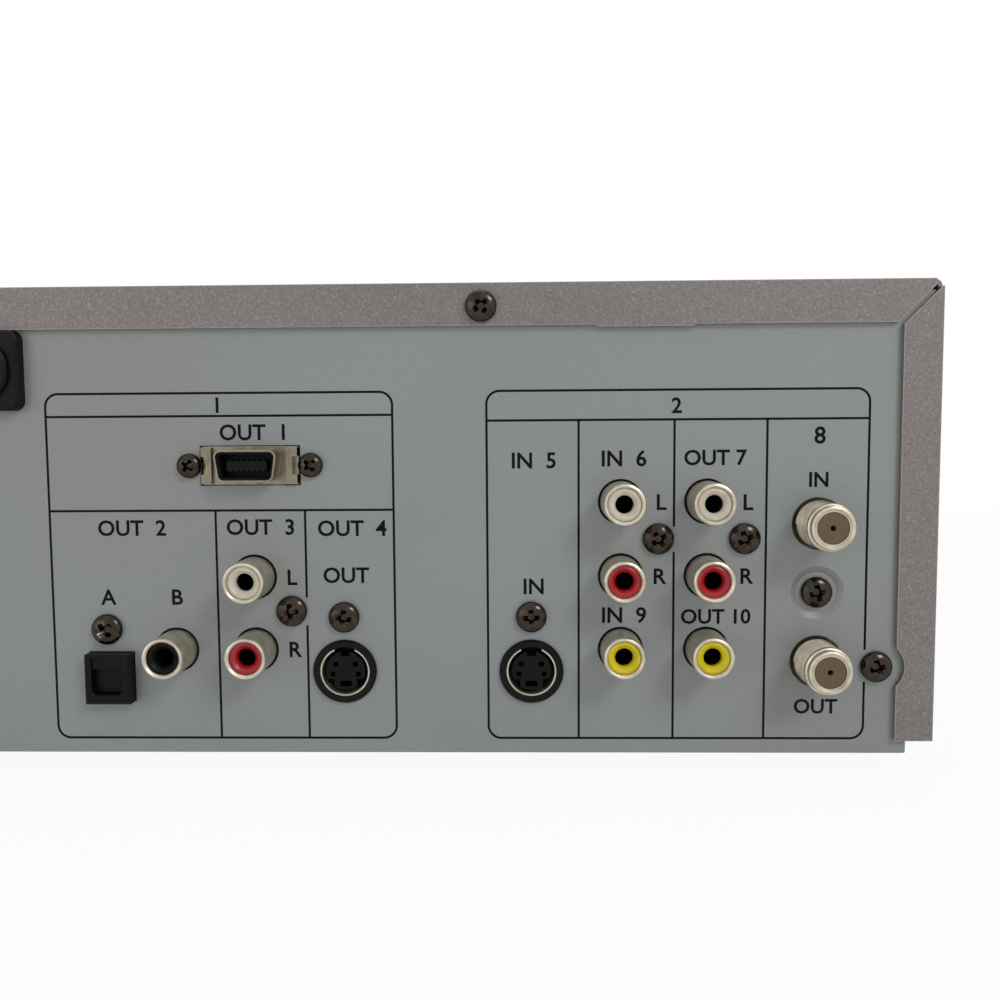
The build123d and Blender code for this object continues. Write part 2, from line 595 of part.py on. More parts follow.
# ---- rear sockets
def socket_tube(x, z, root, tip):
    inner = PHONO_RADIUS - PHONO_WALL
    neck = root + SHEET
    outline = [(inner, root), (PHONO_RADIUS - 0.2, root), (PHONO_RADIUS - 0.2, neck), (PHONO_RADIUS, neck)]
    outline += [(PHONO_RADIUS, tip - 0.5)]
    outline += [(PHONO_RADIUS - 0.18, tip - 0.14), (PHONO_RADIUS - 0.5, tip), (inner + 0.15, tip - 0.2)]
    return turned_y(x, z, outline + [(inner, tip - 0.4)])


def socket_core(x, z, root, tip):
    """An insulator with its dished mouth at the tip."""
    outline = [(PHONO_BORE, root), (CORE_RADIUS, root), (CORE_RADIUS, tip - 0.7)]
    outline += [(CORE_RADIUS - 0.5, tip - 0.5), (PHONO_BORE + 0.35, tip - 1.0), (PHONO_BORE, tip - 1.5)]
    return turned_y(x, z, outline)


def insert_ring(x, z, root, tip):
    return socket_core(x, z, tip - INSERT_DEPTH, tip)


def core_stem(x, z, root, tip):
    """The block's sleeve behind a coloured insert."""
    end = tip - INSERT_DEPTH
    return turned_y(x, z, [(PHONO_BORE, root), (CORE_RADIUS, root), (CORE_RADIUS, end), (PHONO_BORE, end)])


def phono_shells():
    rear = phono_sockets() + [(column(COAX_COLUMN), PHONO_Z[0], "black")]
    shells = [socket_tube(x, z, INNER_BACK, BACK + PHONO_NOSE) for x, z, colour in rear]
    return shells + [front_turned(socket_tube, x, z) for x, z, colour in front_sockets()]


def front_turned(maker, x, z):
    root = BOARD_Y
    length = root - FRONT - 0.3
    return Pos(x, root, z) * Rot(0, 0, 180) * maker(0, 0, 0, length)


def inserts(wanted):
    rear = [s for s in phono_sockets() if s[2] == wanted]
    rings = [insert_ring(x, z, INNER_BACK, BACK + PHONO_NOSE) for x, z, colour in rear]
    front = [s for s in front_sockets() if s[2] == wanted]
    return rings + [front_turned(insert_ring, x, z) for x, z, colour in front]


def jack_block(distance, rows):
    x = column(distance)
    low, high = PHONO_Z[rows[0]] - BLOCK_HALF, PHONO_Z[rows[-1]] + BLOCK_HALF
    body = block(x - BLOCK_HALF, x + BLOCK_HALF, BLOCK_BACK, INNER_BACK, BOARD_TOP, high)
    ear, screw_z = block_screw_place(distance, rows)
    body += rod_y(ear, screw_z, 3.2, INNER_BACK - 8, INNER_BACK)
    body += block(ear, x, INNER_BACK - 8, INNER_BACK, screw_z - 3.2, screw_z + 3.2)
    body -= rod_y(ear, screw_z, SCREW_SHAFT, INNER_BACK - 7, INNER_BACK + 1)
    for row in rows:
        body -= rod_y(x, PHONO_Z[row], PHONO_BORE, BLOCK_BACK + 3, INNER_BACK + 1)
        body += core_stem(x, PHONO_Z[row], INNER_BACK, BACK + PHONO_NOSE)
        lug = block(x - 1.5, x + 1.5, BLOCK_BACK - 1.2, BLOCK_BACK, PHONO_Z[row] - 4, PHONO_Z[row] + 4)
        body += lug
    body -= block(x - 4, x + 4, BLOCK_BACK - 2, BLOCK_BACK + 2.0, low + 2, low + 3.6)
    return body


def coax_jack():
    x, z = column(COAX_COLUMN), PHONO_Z[0]
    body = block(x - 5.5, x + 5.5, BLOCK_BACK, INNER_BACK, BOARD_TOP, z + BLOCK_HALF)
    body -= rod_y(x, z, PHONO_BORE, BLOCK_BACK + 3, INNER_BACK + 1)
    return body + socket_core(x, z, INNER_BACK, BACK + PHONO_NOSE)


def front_jack_block():
    xs = [x for x, z, colour in front_sockets()]
    z = BASE + SOCKET_ROW
    body = block(xs[0] - BLOCK_HALF, xs[-1] + BLOCK_HALF, BOARD_Y, BOARD_Y + BLOCK_DEPTH,
                 z - BLOCK_HALF, z + BLOCK_HALF)
    foot = block(xs[0] - BLOCK_HALF, xs[-1] + BLOCK_HALF, BOARD_Y + BLOCK_DEPTH - 2,
                 BOARD_Y + BLOCK_DEPTH, BASE + MOULD_WALL, z)
    for x in xs:
        body -= rod_y(x, z, PHONO_BORE, BOARD_Y - 1, BOARD_Y + BLOCK_DEPTH - 3)
        body += front_turned(core_stem, x, z)
    return body + foot


def din_bodies():
    return [din_body(column(c), BASE + DIN_HEIGHT) for c in DIN_COLUMNS]


def din_body(x, z):
    screw_z = z + DIN_SCREW_RISE
    mouth, face = DIN_RING + PHONO_FIT, BACK - 0.2
    points = [(0, BLOCK_BACK), (6.2, BLOCK_BACK), (6.2, INNER_BACK), (DIN_RADIUS - 0.7, INNER_BACK)]
    points += [(DIN_RADIUS - 0.7, BACK), (DIN_RADIUS, BACK), (DIN_RADIUS, BACK + 0.5)]
    points += [(DIN_RADIUS - 0.3, BACK + 0.9), (DIN_RADIUS - 0.8, BACK + 1.0), (mouth, BACK + 0.8)]
    body = turned_y(x, z, points + [(0, BACK + 0.8)])
    body += block(x - 6.2, x + 6.2, BLOCK_BACK, INNER_BACK, BOARD_TOP, z)
    body += block(x - 3.4, x + 3.4, INNER_BACK - 8, INNER_BACK, z, screw_z + 3.2)
    body -= rod_y(x, screw_z, SCREW_SHAFT, INNER_BACK - 7, INNER_BACK + 1)
    moat = [(mouth, BACK + 1), (mouth, BACK - 6), (DIN_CORE, BACK - 6), (DIN_CORE, face)]
    body -= turned_y(x, z, moat + [(0, face), (0, BACK + 1)])
    holes = [Pos(side * dx, dz) * Rectangle(DIN_CONTACT, DIN_CONTACT)
             for side in (1, -1) for dx, dz in DIN_CONTACTS]
    rim = Circle(DIN_RING - 0.5)
    holes += [Pos(dx, dz) * Rectangle(DIN_NOTCH, DIN_NOTCH) & rim for dx, dz in DIN_NOTCHES]
    holes.append(Pos(0, -DIN_KEY_DROP) * Rectangle(*DIN_KEY))
    return body - [plate_y(Pos(x, z) * hole, BACK - 4, BACK) for hole in holes]


def din_rings():
    """Spring rings of the screens, open in front at the top."""
    root, tip, inner = BACK - 6, BACK + 0.5, DIN_RING - 0.3
    points = [(inner, root), (DIN_RING, root), (DIN_RING, tip), (inner, tip)]
    rings = []
    for c in DIN_COLUMNS:
        x, z = column(c), BASE + DIN_HEIGHT
        rings.append(turned_y(x, z, points) - block(x - 2.1, x + 2.1, BACK - 3, BACK + 1, z, z + DIN_RADIUS))
    return rings


def optical_jack():
    x, z = column(OPTICAL_COLUMN), BASE + OPTICAL_HEIGHT
    front = BACK + OPTICAL_PROUD
    body = plate_y(Pos(x, z) * Rectangle(*OPTICAL_SIZE), BLOCK_BACK, front)
    body = chamfer(body.edges().group_by(Axis.Y)[-1], 0.3)
    screw_x, screw_z = x + OPTICAL_SCREW[0], z + OPTICAL_SCREW[1]
    body += block(screw_x - 3.4, screw_x + 3.4, INNER_BACK - 8, INNER_BACK, z, screw_z + 3.2)
    body -= rod_y(screw_x, screw_z, SCREW_SHAFT, INNER_BACK - 7, INNER_BACK + 1)
    port = Rectangle(*OPTICAL_PORT)
    mouth = chamfer(port.vertices().group_by(Axis.Y)[0], OPTICAL_KEY)
    place = Pos(x, z + OPTICAL_PORT_RISE)
    body -= plate_y(place * mouth, BACK, front + 1)
    return body - plate_y(place * port, BLOCK_BACK + 2.5, front - SHUTTER_AXIS[0])


def optical_shutter():
    """A flap hanging from a barrel, its upper band flat in front."""
    x, z = column(OPTICAL_COLUMN), BASE + OPTICAL_HEIGHT + OPTICAL_PORT_RISE
    half = OPTICAL_PORT[0] / 2 - 0.15
    y = BACK + OPTICAL_PROUD - SHUTTER_AXIS[0]
    top, low = z + OPTICAL_PORT[1] / 2 - SHUTTER_AXIS[1], z - OPTICAL_PORT[1] / 2 + 0.2
    rear, band = y - SHUTTER_BARREL, y + SHUTTER_BARREL + 0.2
    flap = rod_x(y, top, SHUTTER_BARREL, x - half, x + half)
    flap += block(x - half, x + half, y, band, top - SHUTTER_BARREL, top + SHUTTER_BARREL)
    return flap + block(x - half, x + half, rear, rear + SHUTTER_WALL, low, top)


def trapezoid(grow):
    top, bottom, tall = TRAPEZOID_NOSE
    up = tall / 2
    corners = [(-top / 2, up), (top / 2, up), (bottom / 2, -up), (-bottom / 2, -up)]
    outline = make_face(Polyline(*corners, close=True))
    outline = fillet(outline.vertices(), 1.4)
    return offset(outline, grow) if grow else outline


def trapezoid_place():
    return Pos(column(TRAPEZOID_COLUMN), BASE + TRAPEZOID_HEIGHT)


def component_shell():
    place = trapezoid_place()
    wide, tall = TRAPEZOID_CUTOUT
    width, middle = TRAPEZOID_LUG
    hollow = trapezoid(-TRAPEZOID_WALL)
    root = Rectangle(2 * middle + width, tall - 0.4) - hollow
    plate = Rectangle(TRAPEZOID_PLATE, tall - 0.4) - hollow
    shell = plate_y(place * root, BACK - SHEET, BACK - 0.6)
    shell += plate_y(place * plate, BACK - 0.6, BACK - 0.2)
    shell += plate_y(place * (trapezoid(0) - hollow), BACK - 0.2, BACK + TRAPEZOID_PROUD)
    for side in (1, -1):
        notch = Pos(side * width / 2, 0) * Rectangle(width, tall - 4.4)
        lug = Pos(side * middle, 0) * (Rectangle(width, tall - 0.8) - notch)
        shell += plate_y(place * lug, BACK - 0.6, BACK + 0.9)
    return shell


def component_insert():
    x, z = column(TRAPEZOID_COLUMN), BASE + TRAPEZOID_HEIGHT
    place = trapezoid_place()
    ears = Rectangle(2 * TRAPEZOID_SCREWS + 6, TRAPEZOID_CUTOUT[1] + 2)
    body = plate_y(place * ears, INNER_BACK - 4, INNER_BACK)
    body += block(x - 10, x + 10, BLOCK_BACK, INNER_BACK - 4, z - 5, z + 5)
    core = trapezoid(-TRAPEZOID_WALL - PHONO_FIT)
    body += plate_y(place * core, INNER_BACK, BACK + TRAPEZOID_PROUD - 0.6)
    body -= plate_y(place * (trapezoid(-0.75) - tongue()), BACK - 0.5, BACK + TRAPEZOID_PROUD)
    body -= plate_y(place * tongue(), BACK + TRAPEZOID_PROUD - 1.4, BACK + TRAPEZOID_PROUD)
    for side in (1, -1):
        body -= rod_y(x + side * TRAPEZOID_SCREWS, z, SCREW_SHAFT - 0.2, INNER_BACK - 7, BACK)
    return body


def tongue():
    """The connector's tongue with its ribs of contacts above and below."""
    outline = Rectangle(*TONGUE)
    for i in range(TONGUE_CONTACTS):
        x = (i - (TONGUE_CONTACTS - 1) / 2) * TONGUE_PITCH
        outline += Pos(x, 0) * Rectangle(TONGUE_PITCH / 2, TONGUE[1] + 0.5)
    return outline


def component_screws():
    places = [(column(TRAPEZOID_COLUMN) + side * TRAPEZOID_SCREWS) for side in (1, -1)]
    z = BASE + TRAPEZOID_HEIGHT
    return [screw_y(x, z, BACK, SMALL_HEAD_RADIUS, SCREW_SHAFT - 0.2) for x in places]


def mains_inlet():
    place = Pos(column(INLET_COLUMN), BASE + INLET_HEIGHT)
    wide, tall = INLET_SIZE
    rim = plate_y(place * rounded(wide, tall, 2), BACK, BACK + INLET_RIM)
    collar = plate_y(place * rounded(*INLET_COLLAR, 5.4), BACK, BACK + INLET_PROUD)
    body = chamfer(rim.edges().group_by(Axis.Y)[-1], 0.5) + chamfer(collar.edges().group_by(Axis.Y)[-1], 0.5)
    body += plate_y(place * Rectangle(wide - 3, tall - 2.4), BLOCK_BACK - 6, BACK)
    lobes = [Pos(side * INLET_PIN_SPACING / 2, 0) * Circle(INLET_LOBE) for side in (1, -1)]
    socket = lobes[0] + lobes[1] + Rectangle(INLET_PIN_SPACING, 2 * INLET_LOBE - 1.2)
    body -= plate_y(place * socket, BACK - 12, BACK + INLET_PROUD + 1)
    for side in (1, -1):
        x = column(INLET_COLUMN) + side * INLET_PIN_SPACING / 2
        body -= rod_y(x, BASE + INLET_HEIGHT, 1.2, BLOCK_BACK - 9, BACK)
    return body


def inlet_pins():
    z = BASE + INLET_HEIGHT
    xs = [column(INLET_COLUMN) + side * INLET_PIN_SPACING / 2 for side in (1, -1)]
    tip = BACK - 1.5
    points = [(0, BLOCK_BACK - 9), (1.15, BLOCK_BACK - 9), (1.15, tip - 0.6), (0.6, tip), (0, tip)]
    return [turned_y(x, z, points) for x in xs]


def tuner_can():
    x, front = column(ANTENNA_COLUMN), INNER_BACK - SHEET
    rear, high = DECK_BACK + TUNER_GAP, ANTENNA_Z[1] + 9.0
    step = (front - rear) / 4
    can = block(x - TUNER_HALF, x + TUNER_HALF, rear, front, BOARD_TOP, high)
    seam = (rear + step / 2, front - step / 2)
    can -= block(x - TUNER_HALF - 1, x + TUNER_HALF + 1, *seam, BOARD_TOP + 6, BOARD_TOP + 6.8)
    for i in range(1, 4):
        y = front - i * step
        can -= block(x - 6, x + 6, y - step / 4, y + step / 4, high - 0.4, high + 1)
    can -= rod_y(x, DIMPLE_Z, SCREW_SHAFT, front - 8, front + 1)
    for z in ANTENNA_Z:
        can -= rod_y(x, z, DIELECTRIC_RADIUS, front - 2, front + 1)
    return can - rod_y(x, DIMPLE_Z, DIMPLE_FLOOR + SHEET, front - DIMPLE_DEPTH, front + 1)


def antenna_sockets():
    x, root = column(ANTENNA_COLUMN), INNER_BACK - SHEET
    tip, inner = BACK + ANTENNA_NOSE, DIELECTRIC_RADIUS + PHONO_FIT
    base, nose = ANTENNA_RADIUS + 0.4, ANTENNA_RADIUS - 0.4
    points = [(inner, root), (base, root), (base, BACK - 0.7), (nose, BACK - 0.7), (nose, BACK)]
    points += [(ANTENNA_RADIUS, BACK), (ANTENNA_RADIUS, tip - ANTENNA_TAPER)]
    points += [(nose, tip - ANTENNA_TAPER + 0.6), (nose, tip - 0.4)]
    points += [(nose - 0.3, tip), (inner + 0.5, tip), (inner + 0.3, tip - 0.3), (inner, tip - 0.3)]
    return [turned_y(x, z, points) for z in ANTENNA_Z]


def dielectrics():
    x, root = column(ANTENNA_COLUMN), INNER_BACK - SHEET
    tip, hole = BACK + ANTENNA_NOSE - 0.5, 0.55
    points = [(0, root), (DIELECTRIC_RADIUS, root), (DIELECTRIC_RADIUS, tip), (hole, tip)]
    points += [(hole, tip - 3), (0, tip - 3)]
    return [turned_y(x, z, points) for z in ANTENNA_Z]


# ---- boards
def main_board():
    low = BASE + BOARD_HEIGHT
    board = block(-HALF + 9.0, 36.0, BOARD_FRONT, INNER_BACK - SHEET - SEAT, low, BOARD_TOP)
    y0, y1 = BOARD_FRONT + 0.2 * BOARD_ROOM, BOARD_FRONT + 0.6 * BOARD_ROOM
    for distance, width in CHIPS:
        x = column(distance)
        board += block(x, x + width, y0, y1, BOARD_TOP, BOARD_TOP + CHIP)
    first, pitch, count = CAPACITORS
    for i in range(count):
        x, y = column(first + i * pitch), BOARD_FRONT + 0.75 * BOARD_ROOM
        board += rod_z(x, y, 0.08 * BOARD_ROOM, BOARD_TOP, BOARD_TOP + CAPACITOR_HEIGHT)
    return board


def power_board():
    x0, x1 = LOADER_X - POWER_BOARD[0], LOADER_X + POWER_BOARD[1]
    board = block(x0, x1, POWER_FRONT, POWER_BACK, BASE + BOARD_HEIGHT, BOARD_TOP)
    cans = ((x0 + 20, POWER_BACK - 15, 9, 26), (x0 + 62, POWER_Y - 30, 5, 16), (x0 + 78, POWER_Y - 30, 5, 16))
    for x, y, radius, tall in cans:
        board += rod_z(x, y, radius, BOARD_TOP, BOARD_TOP + tall)
    sink = x1 - 28
    board += block(sink, sink + 3, POWER_Y - 34, POWER_Y + 34, BOARD_TOP, BOARD_TOP + 34)
    for i in range(6):
        y = POWER_Y - 31 + i * 12
        board += block(sink + 3, sink + 14, y, y + 2, BOARD_TOP + 4, BOARD_TOP + 34)
    return board


def transformer():
    x, y = LOADER_X - 14.0, POWER_Y + 2.0
    low = BOARD_TOP + 2
    core = block(x - 20, x + 20, y - 17, y + 17, low, low + 28)
    for side in (1, -1):
        window = sorted((x + side * 7, x + side * 12))
        core -= block(*window, y - 18, y + 18, low + 5, low + 23)
    coil = plate_y(Pos(x, low + 14) * rounded(22, 16, 4), y - 22, y + 22)
    return core + coil + block(x - 14, x + 14, y - 20, y + 20, BOARD_TOP, low + 2)


# ---- cassette deck
def frame_side(side):
    x = sorted((DECK_X + side * FRAME_HALF, DECK_X + side * (FRAME_HALF - CARRIAGE_WALL)))
    gap = CARRIAGE_PIN + 0.4
    wall = make_face(Polyline(
        (CARRIAGE_FRONT - 2, DECK_TOP), (DRUM_Y - 30, DECK_TOP), (DRUM_Y - 30, CARRIAGE_TOP - 8),
        (DRUM_Y - 38, CARRIAGE_TOP), (CARRIAGE_FRONT - 2, CARRIAGE_TOP), close=True))
    wall -= Pos(PIN_Y + CARRIAGE_IN / 2, PIN_Z - CARRIAGE_DOWN / 2) * Rectangle(
        CARRIAGE_IN + 2 * gap, CARRIAGE_DOWN + 2 * gap)
    wall -= Pos(PIN_Y + 10, DECK_TOP + 15) * rounded(100, 16, 5)
    return plate_x(wall, *x)


def deck_plate():
    half = FRAME_HALF
    low = DECK_TOP - DECK_SHEET
    deck = block(DECK_X - half, DECK_X + half, CARRIAGE_FRONT - 2, DECK_BACK, low, DECK_TOP)
    deck += frame_side(1) + frame_side(-1)
    for x in (DECK_X - half + 8, DECK_X + half - 8):
        for y in (CARRIAGE_FRONT + 8, REEL_Y, DECK_BACK - 10):
            deck += rod_z(x, y, 4.0, FLOOR, low)
    for x, y in reel_places():
        deck += rod_z(x, y, AXLE, DECK_TOP, DECK_TOP + 24)
        deck += rod_z(x, y, 4.0, DECK_TOP, DECK_TOP + 1.5)
    deck += rod_z(*CAPSTAN, 4.0, DECK_TOP, DECK_TOP + 8)
    deck -= rod_z(*CAPSTAN, AXLE + AXLE_FIT, FLOOR, TOP)
    deck += rod_z(*PIVOT, AXLE, DECK_TOP, DECK_TOP + 27)
    deck += rod_z(*PIVOT, 4.0, DECK_TOP, DECK_TOP + 8)
    for dx, dy in ((-46, -26), (-34, 6), (40, -8), (34, 12)):
        post = [(0, DECK_TOP), (3.5, DECK_TOP), (3.5, DECK_TOP + 6), (2.2, DECK_TOP + 6)]
        post += [(2.2, DECK_TOP + 21), (3.2, DECK_TOP + 21), (3.2, DECK_TOP + 23), (0, DECK_TOP + 23)]
        deck += turned_z(DECK_X + dx, DRUM_Y + dy, post)
    return deck


def reel_places():
    return [(DECK_X + side * REEL_SPACING / 2, REEL_Y) for side in (-1, 1)]


def reel_table(x, y):
    low, bore = DECK_TOP + 1.5 + SEAT, AXLE + AXLE_FIT
    points = [(bore, low), (22, low), (22, low + 3), (18, low + 3), (17, low + 1.5), (11, low + 1.5)]
    points += [(11, low + 5), (8, low + 6), (8, low + 18), (5, low + 22), (bore, low + 22)]
    reel = turned_z(x, y, points)
    for i in range(3):
        fin = Pos(x, y) * Rot(0, 0, 120 * i) * Pos(8, 0) * Rectangle(3.6, 1.6)
        reel += plate_z(fin, low + 5, low + 17)
    return reel


def drum_place():
    return Pos(DECK_X, DRUM_Y, DECK_TOP + 5.5) * Rot(DRUM_TILT, 0, 0)


def lower_drum():
    bore = 3.0 + AXLE_FIT
    points = [(bore, 0), (DRUM_RADIUS - 2, 0), (DRUM_RADIUS, 2), (DRUM_RADIUS, 16), (24, 16)]
    points += [(24, 14), (6, 14), (6, 16), (bore, 16)]
    drum = drum_place() * turned_z(0, 0, points)
    foot = rod_z(DECK_X, DRUM_Y, 22.0, DECK_TOP, DECK_TOP + 8)
    foot -= drum_place() * rod_z(0, 0, bore, -10, 20)
    return drum + foot


def upper_drum():
    points = [(0, 1), (3.0, 1), (3.0, 16.3), (DRUM_RADIUS, 16.3), (DRUM_RADIUS, 32), (DRUM_RADIUS - 1, 33)]
    points += [(20, 33), (19, 31), (11, 31), (11, 38), (9, 39), (0, 39)]
    drum = turned_z(0, 0, points)
    for i in range(4):
        drum -= Rot(0, 0, 45 + 90 * i) * block(DRUM_RADIUS - 1.5, DRUM_RADIUS + 1, -2, 2, 16, 18.2)
        drum -= Rot(0, 0, 90 * i) * rod_z(25, 0, 2.5, 31, 34)
    return drum_place() * drum


def capstan():
    low = FLOOR + 3.0
    rim = DECK_TOP - DECK_SHEET - 2.0
    points = [(0, low - 1), (AXLE, low - 1), (AXLE, low), (22, low), (22, rim), (19, rim)]
    points += [(19, rim - 2), (6, rim - 2), (6, rim), (AXLE, rim)]
    return turned_z(*CAPSTAN, points + [(AXLE, DECK_TOP + 36), (0, DECK_TOP + 36)])


def pinch_arm():
    low, high = DECK_TOP + 8 + SEAT, DECK_TOP + 24
    arm_high = high + 2.5
    turn = degrees(ARM_ANGLE)
    strap = Pos(*PIVOT) * Rot(0, 0, turn) * Pos(ARM_LENGTH / 2, 0) * SlotCenterToCenter(ARM_LENGTH, 8)
    arm = plate_z(strap, high, arm_high) + rod_z(*PIVOT, 4.0, low, high)
    arm -= rod_z(*PIVOT, AXLE + AXLE_FIT, low - 1, arm_high + 1)
    return arm + rod_z(*ROLLER, AXLE, high - 18, high)


def pinch_roller():
    high = DECK_TOP + 24 - SEAT
    bore = AXLE + AXLE_FIT
    points = [(bore, high - 15), (4, high - 15), (4, high - 14), (PINCH_RADIUS, high - 14)]
    points += [(PINCH_RADIUS, high - 1), (4, high - 1), (4, high), (bore, high)]
    return turned_z(*ROLLER, points)


def carriage_slider():
    gap = CARRIAGE_PIN + 0.2
    bar = CARRIAGE_TOP + RUN
    yoke = block(DECK_X - FRAME_HALF, DECK_X + FRAME_HALF, PIN_Y - 8, PIN_Y + 8, bar, bar + 1.2)
    for side in (1, -1):
        x = sorted((DECK_X + side * SLIDER_HALF, DECK_X + side * (SLIDER_HALF - COVER_WALL)))
        arm = Pos(PIN_Y, (CARRIAGE_LOW - 12 + bar) / 2) * Rectangle(16, bar - CARRIAGE_LOW + 12)
        arm -= Pos(PIN_Y, PIN_Z - CARRIAGE_DOWN / 2) * Rectangle(2 * gap, CARRIAGE_DOWN + 2 * gap)
        yoke += plate_x(arm, *x)
    return yoke


def cassette_carriage():
    inner = CARRIAGE_HALF - CARRIAGE_WALL
    z0, z1 = CARRIAGE_LOW, CARRIAGE_TOP
    holder = block(DECK_X - CARRIAGE_HALF, DECK_X + CARRIAGE_HALF, CARRIAGE_FRONT, CARRIAGE_BACK, z0, z1)
    holder -= block(DECK_X - inner, DECK_X + inner, CARRIAGE_FRONT - 1, CARRIAGE_BACK + 1,
                    z0 + CARRIAGE_WALL, z1 - CARRIAGE_WALL)
    slot = inner - 10
    holder -= block(DECK_X - slot, DECK_X + slot, CARRIAGE_FRONT - 1, CARRIAGE_BACK + 1, z0 - 1, z0 + 2)
    window = Pos(DECK_X, PIN_Y + 26) * rounded(120, 36, 6)
    holder -= plate_z(window, z1 - 2, z1 + 1)
    for side in (1, -1):
        x = sorted((DECK_X + side * (CARRIAGE_HALF - 0.5), DECK_X + side * FRAME_HALF))
        holder += rod_x(PIN_Y, PIN_Z, CARRIAGE_PIN, *x)
        groove = Pos(DECK_X + side * 60, PIN_Y - 30) * rounded(40, 14, 4)
        holder -= plate_z(groove, z1 - 2, z1 + 1)
    return holder


# ---- disc loader
def loader_frame():
    x0, x1 = LOADER_X - LOADER_HALF, LOADER_X + LOADER_HALF
    floor = block(x0, x1, LOADER_FRONT, LOADER_BACK, LOADER_FLOOR, LOADER_FLOOR + LOADER_WALL)
    well = TRAVERSE_WIDTH / 2 + 6
    frame = floor - block(LOADER_X - well, LOADER_X + well, SPINDLE_Y - 45, TRAVERSE_Y + 9,
                          LOADER_FLOOR - 1, LOADER_FLOOR + 3)
    edge = TRAY[0] / 2
    for side in (1, -1):
        span = lambda a, b: sorted((LOADER_X + side * a, LOADER_X + side * b))
        frame += block(*span(LOADER_HALF - LOADER_WALL, LOADER_HALF), LOADER_FRONT, LOADER_BACK,
                       LOADER_FLOOR, BRIDGE_TOP)
        frame += block(*span(edge - 4, LOADER_HALF), LOADER_FRONT, LOADER_BACK,
                       TRAY_LOW - 2.5, TRAY_LOW - SEAT)
        frame += block(*span(edge - 2, LOADER_HALF), LOADER_FRONT + 10, LOADER_BACK - 10,
                       TRAY_TOP + SEAT, TRAY_TOP + 2.0)
        lug = TRAVERSE_WIDTH / 2 + 0.4
        frame += block(*span(lug, well + 3), TRAVERSE_Y - 4, TRAVERSE_Y + 4, LOADER_FLOOR, PIVOT_Z + 4)
        for y in (LOADER_FRONT + 15, LOADER_BACK - 6):
            frame += block(*span(LOADER_HALF - 10, LOADER_HALF), y - 5, y + 5, FLOOR, LOADER_FLOOR)
    reach = TRAVERSE_WIDTH / 2 + 5
    frame -= rod_x(TRAVERSE_Y, PIVOT_Z, TRAVERSE_PIN + AXLE_FIT, LOADER_X - reach, LOADER_X + reach)
    bridge = block(x0, x1, SPINDLE_Y - 18, SPINDLE_Y + 18, BRIDGE_LOW, BRIDGE_TOP)
    frame += bridge
    return frame - rod_z(LOADER_X, SPINDLE_Y, PUCK_RADIUS - 0.5, BRIDGE_LOW - 1, BRIDGE_TOP + 1)


def disc_tray():
    half, length, wall = TRAY[0] / 2, TRAY[1], TRAY[2]
    tray = block(LOADER_X - half, LOADER_X + half, TRAY_FRONT, TRAY_FRONT + length, TRAY_LOW, TRAY_TOP)
    tray -= rod_z(LOADER_X, SPINDLE_Y, DISC_RADIUS, TRAY_TOP - 3, TRAY_TOP + 1)
    tray -= rod_z(LOADER_X, SPINDLE_Y, DISC_RADIUS * 2 / 3, TRAY_TOP - 3.8, TRAY_TOP)
    tray -= rod_z(LOADER_X, SPINDLE_Y, TRAY_WELL, TRAY_LOW - 1, TRAY_TOP)
    end = TRAY_FRONT + length + 1
    tray -= block(LOADER_X - TRAY_WELL, LOADER_X + TRAY_WELL, SPINDLE_Y, end, TRAY_LOW - 1, TRAY_TOP + 1)
    for side in (1, -1):
        rib = sorted((LOADER_X + side * (half - 12), LOADER_X + side * (half - 4.5)))
        tray -= block(*rib, TRAY_FRONT + 6, end, TRAY_LOW - 1, TRAY_LOW + 1.2)
    return tray


def tray_fascia():
    wide, tall = TRAY_SLOT[0] - 0.8, TRAY_SLOT[1] - 0.8
    fascia = plate_y(Pos(LOADER_X, TRAY_MIDDLE) * Rectangle(wide, tall), FRONT, TRAY_FRONT)
    return fillet(fascia.edges().group_by(Axis.Y)[0], 0.8)


def clamp_puck():
    low = TRAY_TOP + 1.5
    neck, rest = PUCK_RADIUS - 1.2, BRIDGE_TOP + SEAT
    points = [(0, low + 1), (6, low + 1), (7, low), (neck, low), (neck, rest), (PUCK_RADIUS + 4, rest)]
    points += [(PUCK_RADIUS + 4, rest + 1.2), (8, rest + 1.2), (7, rest + 0.4), (0, rest + 0.4)]
    return turned_z(LOADER_X, SPINDLE_Y, points)


def traverse():
    half = TRAVERSE_WIDTH / 2
    z0, z1 = TRAVERSE_TOP - TRAVERSE_SHEET, TRAVERSE_TOP
    front = SPINDLE_Y - 30
    frame = block(LOADER_X - half, LOADER_X + half, front, TRAVERSE_Y + 3, z0, z1)
    frame -= block(LOADER_X - 12, LOADER_X + 12, SPINDLE_Y + 20, TRAVERSE_Y - 18, z0 - 1, z1 + 1)
    frame += rod_z(LOADER_X, SPINDLE_Y, 12, z0 - 6, z1 + 3)
    frame += block(LOADER_X - half, LOADER_X + half, front, front + 2, z1, z1 + 3)
    for y in rod_ends():
        for x in mirrored(ROD_SPACING / 2):
            frame += block(LOADER_X + x - 3, LOADER_X + x + 3, y - 1.5, y + 1.5, z1, ROD_Z + 3)
    for x in mirrored(ROD_SPACING / 2):
        frame -= rod_y(LOADER_X + x, ROD_Z, AXLE, rod_ends()[0] - 2, rod_ends()[1] + 2)
    reach = half + 4.6
    frame += rod_x(TRAVERSE_Y, PIVOT_Z, TRAVERSE_PIN, LOADER_X - reach, LOADER_X + reach)
    return frame - rod_z(LOADER_X, SPINDLE_Y, AXLE + AXLE_FIT, z0 - 5, z1 + 4)


def rod_ends():
    inner = SPINDLE_Y + 10.0
    return (inner, SPINDLE_Y + SLED_INNER + SLED_TRAVEL + 24.0)


